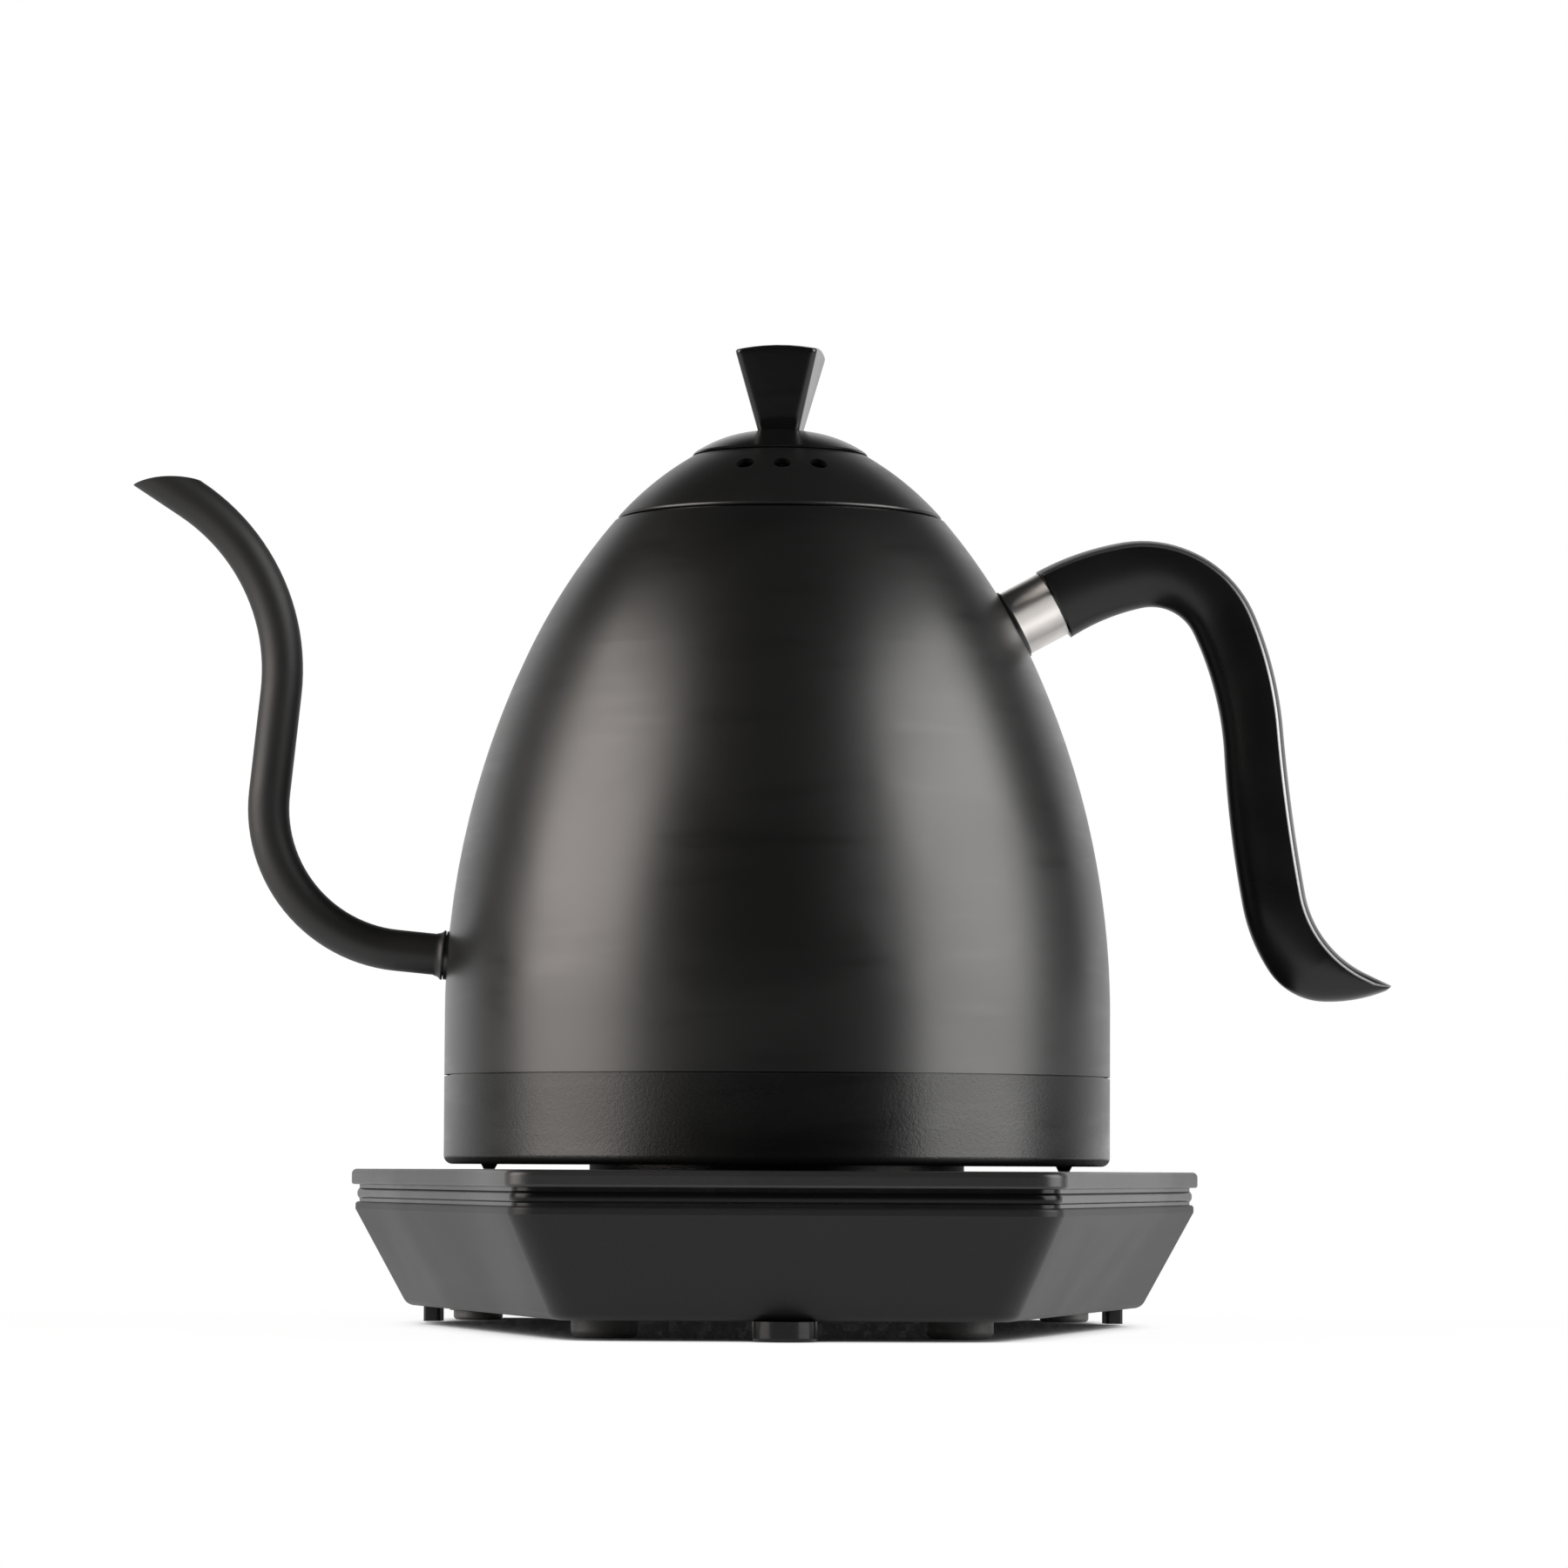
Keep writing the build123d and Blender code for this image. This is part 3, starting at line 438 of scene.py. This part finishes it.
baseValues = {
    "color": (0.006, 0.006, 0.0061),
    "specular": 0.26,
    "grain": 2200.0,
    "toneRange": 0.14,
    "rough": (0.44, 0.49),
    "wipe": 0.01,
    "bump": 0.3,
    "bumpDepth": 0.00008,
    "edgeReach": 0.0012,
    "edgeAmount": 0.35,
    "edgeColor": (0.04, 0.04, 0.041),
    "patches": 12.0,
}
basePlastic = makeCoated("charcoalBasePlastic", baseValues)
# Top plate: higher specular, and a lighter colour that is partly a painted highlight for its bright edges
plateValues = {**baseValues, "color": (0.011, 0.011, 0.0112), "specular": 0.5, "rough": (0.34, 0.42)}
platePlastic = makeCoated("topPlatePlastic", plateValues)
trimValues = {**baseValues, "color": (0.002, 0.002, 0.002), "specular": 0.2, "rough": (0.22, 0.3)}
baseTrim = makeCoated("darkTrimPlastic", trimValues)

gripValues = {
    "color": (0.0025, 0.0025, 0.0026),
    "specular": 0.42,
    "grain": 2400.0,
    "toneRange": 0.12,
    "rough": (0.26, 0.33),
    "bump": 0.22,
    "bumpDepth": 0.00006,
    # light colour of the painted highlight along the back's creases
    "paintedHighlightColor": (0.45, 0.45, 0.455),
    "wipe": 0.0,
    "patches": 26.0,
}
gripSatin = makeCoated("satinGripBlack", gripValues)

rubberValues = {
    "color": (0.05, 0.05, 0.049),
    "grain": 1700.0,
    "rough": (0.42, 0.55),
    "bump": 0.4,
    "bumpDepth": 0.0001,
    "edgeReach": 0.0006,
    "edgeAmount": 0.3,
    "edgeColor": (0.05, 0.05, 0.05),
}
footRubber = makeCoated("matteRubber", rubberValues)
footGlossValues = {
    **rubberValues,
    "color": (0.005, 0.005, 0.0051),
    "specular": 0.25,
    "rough": (0.18, 0.26),
    "bump": 0.1,
}
footGloss = makeCoated("glossyFootPlastic", footGlossValues)
siliconeValues = {
    **rubberValues,
    "color": (0.36, 0.36, 0.34),
    "rough": (0.35, 0.45),
    "edgeColor": (0.5, 0.5, 0.48),
}
greySilicone = makeCoated("greySilicone", siliconeValues)

panelValues = {
    "color": (0.006, 0.006, 0.0065),
    "grain": 900.0,
    "toneRange": 0.1,
    "specular": 0.32,
    "rough": (0.3, 0.37),
    "bump": 0.05,
    "bumpDepth": 0.00003,
    "wipe": 0.04,
}
panelSatin = makeCoated("satinOverlay", panelValues)

buttonValues = {
    "color": (0.05, 0.05, 0.052),
    "grain": 2000.0,
    "rough": (0.38, 0.46),
    "bump": 0.25,
    "bumpDepth": 0.00006,
    "edgeReach": 0.0006,
    "edgeAmount": 0.5,
    "edgeColor": (0.11, 0.11, 0.112),
}
buttonPlastic = makeCoated("softButtonPlastic", buttonValues)
socketValues = {**buttonValues, "color": (0.02, 0.02, 0.0205), "rough": (0.4, 0.5)}
socketPlastic = makeCoated("heatProofPlastic", socketValues)
moduleValues = {**buttonValues, "color": (0.055, 0.06, 0.07), "rough": (0.32, 0.42), "grain": 1200.0}
componentPlastic = makeCoated("componentPlastic", moduleValues)

# Bare metals
innerValues = {
    "color": (0.62, 0.61, 0.59),
    "lines": 5200.0,
    "roundShare": 0.03,
    "rough": (0.22, 0.34),
    "bump": 0.25,
}
innerSteel = makeMetal("brushedInnerSteel", innerValues)
ferruleValues = {
    "color": (1.0, 0.965, 0.935),
    "lines": 9000.0,
    "lean": 61.5,
    "rough": (0.5, 0.56),
    "drawnOut": 0.97,
    "bump": 0.3,
    "patches": 60.0,
}
polishedSteel = makeMetal("polishedFerruleSteel", ferruleValues)
screwValues = {
    "color": (0.56, 0.56, 0.57),
    "lines": 7000.0,
    "rough": (0.25, 0.4),
    "bump": 0.3,
    "patches": 80.0,
}
screwSteel = makeMetal("zincScrewSteel", screwValues)
contactValues = {
    "color": (0.72, 0.53, 0.26),
    "stain": (0.6, 0.4, 0.2),
    "lines": 8000.0,
    "rough": (0.2, 0.33),
    "bump": 0.2,
}
contactBrass = makeMetal("contactBrass", contactValues)
spreaderValues = {
    "color": (0.74, 0.74, 0.75),
    "lines": 3500.0,
    "roundShare": 1.0,
    "rough": (0.3, 0.42),
    "bump": 0.3,
}
spreaderMetal = makeMetal("rolledAluminium", spreaderValues)

# Smoked window: dark and clear, a little dusty
windowValues = {
    "color": (0.02, 0.022, 0.025),
    "dustColor": (0.03, 0.032, 0.036),
    "patches": 90.0,
    "rough": (0.04, 0.12),
    "clear": 0.55,
    "refraction": 1.49,
}


def makeWindow(values):
    material, tree, shader = newMaterial("smokedWindow")
    handling = placeGroup(tree, handlingGroup, Patches_per_metre=values["patches"])
    smoke = mixColor(tree, handling.outputs["Patches"], values["color"], values["dustColor"])
    join(tree, smoke, shader.inputs["Base Color"])
    join(tree, spread(tree, handling.outputs["Wipes"], fullRange, values["rough"]), shader.inputs["Roughness"])
    setInputs(shader, Transmission_Weight=values["clear"], IOR=values["refraction"])
    return material


# Green board with a mesh of copper tracks under the lacquer
boardValues = {
    "darkGreen": (0.008, 0.06, 0.025),
    "lightGreen": (0.014, 0.09, 0.038),
    "trackColor": (0.05, 0.16, 0.06),
    "grain": 1500.0,
    "tracksPerMetre": 260.0,
    "trackWidth": 0.03,
    "rough": (0.28, 0.4),
    "bump": 0.4,
    "bumpDepth": 0.00004,
}


def makeBoard(values):
    material, tree, shader = newMaterial("greenCircuitBoard")
    grain = placeGroup(tree, grainGroup, Grain_per_metre=values["grain"])
    place = addNode(tree, "ShaderNodeTexCoord").outputs["Object"]
    tracks = addNode(tree, "ShaderNodeTexBrick", offset=0.37, squash=0.6, squash_frequency=3)
    setInputs(tracks, Scale=values["tracksPerMetre"], Mortar_Size=values["trackWidth"])
    setInputs(tracks, Mortar_Smooth=0.2, Brick_Width=1.7, Row_Height=0.6)
    join(tree, place, tracks.inputs["Vector"])
    green = mixColor(tree, grain.outputs["Tone"], values["darkGreen"], values["lightGreen"])
    tracked = mixColor(tree, tracks.outputs["Fac"], green, values["trackColor"])
    join(tree, tracked, shader.inputs["Base Color"])
    join(tree, spread(tree, grain.outputs["Tone"], fullRange, values["rough"]), shader.inputs["Roughness"])
    addBump(tree, shader, tracks.outputs["Fac"], values)
    return material


smokedWindow = makeWindow(windowValues)
circuitBoard = makeBoard(boardValues)

finishes = {
    "body_coat": bodyCoat,
    "inner_steel": innerSteel,
    "polished_steel": polishedSteel,
    "foot_plastic": footPlastic,
    "base_plastic": basePlastic,
    "base_trim": baseTrim,
    "panel_gloss": panelSatin,
    "window": smokedWindow,
    "button_plastic": buttonPlastic,
    "grip": gripSatin,
    "lid_coat": lidCoat,
    "knob_coat": knobCoat,
    "rubber": footRubber,
    "foot_gloss": footGloss,
    "silicone": greySilicone,
    "board": circuitBoard,
    "component": componentPlastic,
    "contact": contactBrass,
    "socket_plastic": socketPlastic,
    "spreader": spreaderMetal,
    "screw_steel": screwSteel,
}


def giveFinish(nodeName, finish):
    for materialSlot in nodes[nodeName].material_slots:
        materialSlot.material = finish


for row in frame["record"]["subparts"]:
    giveFinish(row["node"], finishes[row["material_slot"]])
# Pieces of one slot that are finished a little differently; the top plate's lighter colour is partly a painted
# highlight for its bright edges
ownFinishes = {
    "spout": spoutCoat,
    "spout_collar": spoutCoat,
    "base_top_plate": platePlastic,
    "lid_inner": lidCoat,
    "lid_cap": capCoat,
}
for ownName, ownFinish in ownFinishes.items():
    giveFinish(ownName, ownFinish)
print("finishes given to", len(finishes), "slots")

# Helpers for the pieces that are drawn here


def cornerCurve(first, corner, last, share):
    # A point on the curve that rounds off a corner
    return (1 - share) ** 2 * first + 2 * share * (1 - share) * corner + share * share * last


def ringFaces(count, rings):
    # Four-sided faces between rings of points that follow on from each other
    faces = []
    for ring in range(rings - 1):
        low, high = ring * count, (ring + 1) * count
        for index in range(count):
            after = (index + 1) % count
            faces.append((low + index, low + after, high + after, high + index))
    return faces


def placeSkin(name, points, faces, flatFaces, finish):
    # A smooth skin on the kettle's axis; the last few of its faces stay flat
    mesh = bpy.data.meshes.new(name)
    mesh.from_pydata([tuple(kettleAxis + point) for point in points], [], faces)
    mesh.polygons.foreach_set("use_smooth", [True] * (len(faces) - flatFaces) + [False] * flatFaces)
    mesh.validate()
    mesh.materials.append(finish)
    skin = bpy.data.objects.new(name, mesh)
    scene.collection.objects.link(skin)
    return skin


# Grip: one smooth skin between its back line and its finger line, creased along both sides of the back
gripShape = {
    "back": {
        "start": (0.05937, 0.17434),
        "heading": 28.8,
        "arcs": [(0.0647, -18.4), (0.0282, -77.9), (0.0883, -17.6), (0.399, 5.5), (0.0251, 54.1)],
        "run": 0.0064,
        "spacing": 0.0002,
    },
    "finger": {
        "start": (0.06747, 0.1593),
        "heading": 33.2,
        "arcs": [(0.0494, -20.6), (0.0107, -77.4), (0.0759, -22.0), (0.271, 7.4)]
        + [(0.0411, 22.7), (0.0157, 55.0), (0.0358, 23.2)],
        "run": 0.0,
        "spacing": 0.0009,
    },
    "halfWidth": 0.0066,
    "startHalfWidth": 0.0082,  # where it covers the ferrule's end
    "startShare": 0.17,
    "tipHalfWidth": 0.0044,
    "tailThickness": 0.014,  # thinner sections are narrower too
    "crown": 0.0016,
    "crownLimit": 0.3,  # most of the thickness that the crown takes
    "creaseRound": 0.0005,
    "creaseLimit": 0.12,
    "tailFrom": 0.86,
    "crownPoints": 11,
    "creasePoints": 3,
    "fingerPoints": 27,
    # how strong the painted highlight along the creases is, by share of the length
    "paintedHighlightSteps": ((0.0, 0.05), (0.2, 0.07), (0.34, 1.0), (0.55, 1.0), (0.85, 0.45), (1.0, 0.3)),
}


def arcLine(values):
    # Points along arcs that follow on from each other, each a radius and a turn
    point, angle = Vector(values["start"]), math.radians(values["heading"])
    points = [point]
    for radius, turn in values["arcs"]:
        steps = max(2, round(radius * abs(math.radians(turn)) / values["spacing"]))
        stepTurn = math.radians(turn) / steps
        chord = 2 * radius * math.sin(abs(stepTurn) / 2)
        for _ in range(steps):
            point = point + chord * Vector((math.cos(angle + stepTurn / 2), math.sin(angle + stepTurn / 2)))
            points.append(point)
            angle += stepTurn
    steps = round(values["run"] / values["spacing"])
    for step in range(steps):
        points.append(point + values["run"] * (step + 1) / steps * Vector((math.cos(angle), math.sin(angle))))
    return points


def gripSection(thickness, along, values):
    # Points round one section: crowned back, rounded crease, oval finger side, rounded crease
    thinness = min(1.0, thickness / values["tailThickness"])
    half = values["tipHalfWidth"] + (values["halfWidth"] - values["tipHalfWidth"]) * thinness
    nearStart = max(0.0, 1 - along / values["startShare"])
    half += (values["startHalfWidth"] - values["halfWidth"]) * nearStart * nearStart * (3 - 2 * nearStart)
    crown = min(values["crown"], values["crownLimit"] * thickness)
    crease = thickness / 2 - crown
    depth = thickness - crown
    rounding = min(values["creaseRound"], values["creaseLimit"] * thickness)
    radius = (half * half + crown * crown) / (2 * crown)
    crownEnd = math.asin(half / radius) - rounding / radius
    fingerEnd = math.asin(rounding / depth)
    backSide = []
    for index in range(values["crownPoints"]):
        angle = crownEnd * (1 - 2 * index / (values["crownPoints"] - 1))
        backSide.append(Vector((radius * math.sin(angle), thickness / 2 - radius * (1 - math.cos(angle)))))
    fingerSide = []
    for index in range(values["fingerPoints"]):
        angle = math.pi + fingerEnd + (math.pi - 2 * fingerEnd) * index / (values["fingerPoints"] - 1)
        fingerSide.append(Vector((half * math.cos(angle), crease + depth * math.sin(angle))))
    count = values["creasePoints"]
    shares = [(step + 1) / (count + 1) for step in range(count)]
    farCorner, nearCorner = Vector((-half, crease)), Vector((half, crease))
    farCrease = [cornerCurve(backSide[-1], farCorner, fingerSide[0], share) for share in shares]
    nearCrease = [cornerCurve(fingerSide[-1], nearCorner, backSide[0], share) for share in shares]
    # The crease points carry the painted highlight
    highlightMarks = [0.0] * len(backSide) + [1.0] * count + [0.0] * len(fingerSide) + [1.0] * count
    return backSide + farCrease + fingerSide + nearCrease, highlightMarks


def creaseHighlightShare(along, steps):
    # How strong the crease's painted highlight is at a share of the grip's length
    for (start, low), (end, high) in zip(steps, steps[1:]):
        if along <= end:
            return low + (high - low) * (along - start) / (end - start)
    return steps[-1][1]


def makeGrip(values):
    backLine, fingerLine = arcLine(values["back"]), arcLine(values["finger"])
    lastStation = len(fingerLine) - 1
    tailStation = round(values["tailFrom"] * lastStation)
    places = [0]
    for finger in fingerLine[1 : tailStation + 1]:
        nearest = min(range(len(backLine)), key=lambda place: (backLine[place] - finger).length_squared)
        places.append(max(nearest, places[-1]))
    # The tail's sections lean over so that the last one joins the two lines' ends
    tailPlace = places[-1]
    for station in range(tailStation + 1, lastStation + 1):
        share = (station - tailStation) / (lastStation - tailStation)
        places.append(round(tailPlace + share * (len(backLine) - 1 - tailPlace)))
    points, creaseHighlights = [], []
    for station, finger in enumerate(fingerLine):
        back = backLine[places[station]]
        middle, across = (back + finger) / 2, (back - finger).normalized()
        along = station / lastStation
        section, highlightMarks = gripSection((back - finger).length, along, values)
        highlightShare = creaseHighlightShare(along, values["paintedHighlightSteps"])
        for (side, rise), highlightMark in zip(section, highlightMarks):
            place = middle + across * rise
            points.append(Vector((place.x, side, place.y)))
            creaseHighlights.append(highlightMark * highlightShare)
    count = len(section)
    faces = ringFaces(count, len(fingerLine))
    faces.append(tuple(range(count - 1, -1, -1)))
    faces.append(tuple(range(len(points) - count, len(points))))
    grip = placeSkin("gripSkin", points, faces, 2, gripSatin)
    # The creases' painted highlight goes on the mesh as a value per point
    grip.data.attributes.new("paintedCreaseHighlight", "FLOAT", "POINT").data.foreach_set("value", creaseHighlights)
    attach(grip, "kettle")
    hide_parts("handle_grip")
    print("grip drawn:", len(points), "points")


makeGrip(gripShape)

# Knob: square, widening upwards, with evenly rounded corners and a domed top
knobShape = {
    "footSide": 0.0095,
    "cornerSide": 0.019,
    "cornerHeight": 0.2245,
    "turn": -8.0,
    "cornerRound": 0.0015,
    "rimRound": 0.0008,
    "cornerSteps": 6,
    "sideShares": (0.04, 0.15, 0.3, 0.5, 0.7, 0.85, 0.96),  # points along each side
    "riseShares": (0.0, 0.02, 0.35, 0.7, 0.98, 1.0),  # up each side
    "rimShares": (0.2, 0.4, 0.6, 0.8),  # round the rim
    "domeShares": (0.97, 0.85, 0.6, 0.35, 0.15),  # in to the middle of the top
    "halvings": 30,
}


def roundedSquare(side, values):
    # Points round a square with rounded corners, turned as the knob is
    inner = side / 2 - values["cornerRound"]
    corners = []
    for quarter in range(4):
        centre = Matrix.Rotation(math.radians(90 * quarter), 2) @ Vector((inner, inner))
        for step in range(values["cornerSteps"] + 1):
            angle = math.radians(90 * quarter + 90 * step / values["cornerSteps"])
            corners.append(centre + values["cornerRound"] * Vector((math.cos(angle), math.sin(angle))))
    points = []
    for index, point in enumerate(corners):
        points.append(point)
        if index % (values["cornerSteps"] + 1) == values["cornerSteps"]:
            following = corners[(index + 1) % len(corners)]
            points += [point.lerp(following, share) for share in values["sideShares"]]
    turn = Matrix.Rotation(math.radians(values["turn"]), 2)
    return [turn @ point for point in points]


def makeKnob(values):
    knobLow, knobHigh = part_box("lid_knob")
    foot, crown = knobLow[2], knobHigh[2]
    drop = crown - values["cornerHeight"]
    domeRadius = (values["cornerSide"] ** 2 / 2 + drop * drop) / (2 * drop)
    spreadRate = (values["cornerSide"] - values["footSide"]) / (values["cornerHeight"] - foot)
    topSide = values["footSide"] + spreadRate * (crown - foot)

    def domePoint(flat):
        return Vector((flat.x, flat.y, crown - domeRadius + math.sqrt(domeRadius**2 - flat.length_squared)))

    columns = []
    for low, high in zip(roundedSquare(values["footSide"], values), roundedSquare(topSide, values)):
        bottom, top = low.to_3d() + Vector((0, 0, foot)), high.to_3d() + Vector((0, 0, crown))
        # Where this line up the side meets the dome
        under, over = 0.5, 1.0
        for _ in range(values["halvings"]):
            share = (under + over) / 2
            point = bottom.lerp(top, share)
            if point.z > domePoint(point.xy).z:
                over = share
            else:
                under = share
        edge = bottom.lerp(top, under)
        side = edge - (top - bottom).normalized() * values["rimRound"]
        inward = domePoint(edge.xy - edge.xy.normalized() * values["rimRound"])
        column = [bottom.lerp(side, share) for share in values["riseShares"]]
        column += [cornerCurve(side, edge, inward, share) for share in values["rimShares"]]
        column.append(inward)
        column += [domePoint(inward.xy * share) for share in values["domeShares"]]
        columns.append(column)
    count, levels = len(columns), len(columns[0])
    points = [columns[index][level] for level in range(levels) for index in range(count)]
    points.append(Vector((0, 0, crown)))
    faces = ringFaces(count, levels)
    last = (levels - 1) * count
    faces += [(last + index, last + (index + 1) % count, len(points) - 1) for index in range(count)]
    faces.append(tuple(range(count - 1, -1, -1)))
    knob = placeSkin("knobSkin", points, faces, 1, knobCoat)
    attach(knob, "lid")
    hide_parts("lid_knob")
    print("knob drawn:", len(points), "points")


makeKnob(knobShape)

# Studio: round white table, a softbox on each side and a plain surround
studioValues = {
    "tableRadius": 0.4,
    "tableStretch": 2.2,  # wider than deep
    "tableCorners": 96,
    "tableColor": (0.85, 0.85, 0.85),
    "nearWhite": 0.96,  # share of plain white that the eye sees in the table beside the object
    "whiteRange": (0.12, 0.3),  # distance from the kettle's axis over which the table turns all white
    "shadeReach": 0.032,
    "shadeSamples": 16,
    "shadeRange": (0.02, 0.42),  # openness of the table to the light, from black shadow to plain white
    "surround": 0.5,
    "frontGlow": 0.015,
    "behindRange": (0.28, 0.8),
    "skyLean": 0.45,  # how far the white behind leans away from overhead
}


def makeTable(values):
    mesh = bpy.data.meshes.new("studioTable")
    count, reach = values["tableCorners"], values["tableRadius"]
    turns = [2 * math.pi * step / count for step in range(count)]
    corners = [(reach * math.cos(turn), reach * math.sin(turn), 0) for turn in turns]
    mesh.from_pydata(corners, [], [range(count)])
    table = bpy.data.objects.new("studioTable", mesh)
    table.location = kettleAxis
    table.scale.x = values["tableStretch"]
    scene.collection.objects.link(table)
    material = bpy.data.materials.new("whiteTable")
    material.use_nodes = True
    tree = material.node_tree
    tree.nodes.clear()
    matte = addNode(tree, "ShaderNodeBsdfDiffuse")
    matte.inputs["Color"].default_value = (*values["tableColor"], 1.0)
    # Plain white that darkens under the object, so that its shadow stays
    shade = addNode(tree, "ShaderNodeAmbientOcclusion", samples=values["shadeSamples"])
    shade.inputs["Distance"].default_value = values["shadeReach"]
    glow = addNode(tree, "ShaderNodeEmission")
    join(tree, spread(tree, shade.outputs["AO"], values["shadeRange"], fullRange), glow.inputs["Color"])
    rays = addNode(tree, "ShaderNodeLightPath")
    seen = mathNode(tree, "MAXIMUM", rays.outputs["Is Camera Ray"], rays.outputs["Is Glossy Ray"])
    seen = mathNode(tree, "MAXIMUM", seen, rays.outputs["Is Transmission Ray"])
    place = addNode(tree, "ShaderNodeTexCoord").outputs["Object"]
    away = addNode(tree, "ShaderNodeVectorMath", operation="LENGTH")
    join(tree, place, away.inputs[0])
    white = spread(tree, away.outputs["Value"], values["whiteRange"], (values["nearWhite"], 1.0))
    mix = addNode(tree, "ShaderNodeMixShader")
    join(tree, mathNode(tree, "MULTIPLY", seen, white), mix.inputs["Fac"])
    join(tree, matte.outputs["BSDF"], mix.inputs[1])
    join(tree, glow.outputs["Emission"], mix.inputs[2])
    output = addNode(tree, "ShaderNodeOutputMaterial")
    join(tree, mix.outputs["Shader"], output.inputs["Surface"])
    mesh.materials.append(material)


def makeSurround(values):
    # White to the eye; in reflections white behind the object and dim towards the front
    world = bpy.data.worlds.new("studioSurround")
    scene.world = world
    world.use_nodes = True
    tree = world.node_tree
    tree.nodes.clear()
    direction = addNode(tree, "ShaderNodeTexCoord").outputs["Generated"]
    parts = addNode(tree, "ShaderNodeSeparateXYZ")
    join(tree, direction, parts.inputs["Vector"])
    overhead = mathNode(tree, "MULTIPLY", parts.outputs["Z"], values["skyLean"])
    back = mathNode(tree, "SUBTRACT", parts.outputs["Y"], overhead)
    behind = spread(tree, back, values["behindRange"], (values["frontGlow"], 1.0))
    rays = addNode(tree, "ShaderNodeLightPath")
    mirrored = mathNode(tree, "MAXIMUM", rays.outputs["Is Glossy Ray"], rays.outputs["Is Transmission Ray"])
    fill, glow, white = (addNode(tree, "ShaderNodeBackground") for _ in range(3))
    for background in (fill, glow, white):
        background.inputs["Color"].default_value = (1.0, 1.0, 1.0, 1.0)
    fill.inputs["Strength"].default_value = values["surround"]
    join(tree, behind, glow.inputs["Strength"])
    firstMix = addNode(tree, "ShaderNodeMixShader")
    join(tree, mirrored, firstMix.inputs["Fac"])
    join(tree, fill.outputs["Background"], firstMix.inputs[1])
    join(tree, glow.outputs["Background"], firstMix.inputs[2])
    lastMix = addNode(tree, "ShaderNodeMixShader")
    join(tree, rays.outputs["Is Camera Ray"], lastMix.inputs["Fac"])
    join(tree, firstMix.outputs["Shader"], lastMix.inputs[1])
    join(tree, white.outputs["Background"], lastMix.inputs[2])
    output = addNode(tree, "ShaderNodeOutputWorld")
    join(tree, lastMix.outputs["Shader"], output.inputs["Surface"])


softboxPlace = {"distance": 1.2, "height": 0.52, "aimHeight": 0.11}
softboxes = {
    "leftSoftbox": {"azimuth": -74.0, "wide": 1.04, "tall": 1.2, "power": 22.0, "color": (1.0, 0.93, 0.89)},
    "rightSoftbox": {"azimuth": 70.0, "wide": 1.14, "tall": 1.25, "power": 25.0, "color": (1.0, 0.98, 0.97)},
}


def makeSoftbox(name, values):
    data = bpy.data.lights.new(name, "AREA")
    data.shape = "RECTANGLE"
    data.size, data.size_y = values["wide"], values["tall"]
    data.energy, data.color = values["power"], values["color"]
    lamp = bpy.data.objects.new(name, data)
    scene.collection.objects.link(lamp)
    azimuth = math.radians(values["azimuth"])
    reach = softboxPlace["distance"]
    outward = Vector((math.sin(azimuth) * reach, -math.cos(azimuth) * reach, softboxPlace["height"]))
    lamp.location = kettleAxis + outward
    aim = kettleAxis + Vector((0, 0, softboxPlace["aimHeight"])) - lamp.location
    lamp.rotation_mode = "QUATERNION"
    lamp.rotation_quaternion = aim.to_track_quat("-Z", "Y")


makeTable(studioValues)
makeSurround(studioValues)
for softboxName, softboxValues in softboxes.items():
    makeSoftbox(softboxName, softboxValues)
print("studio lit")
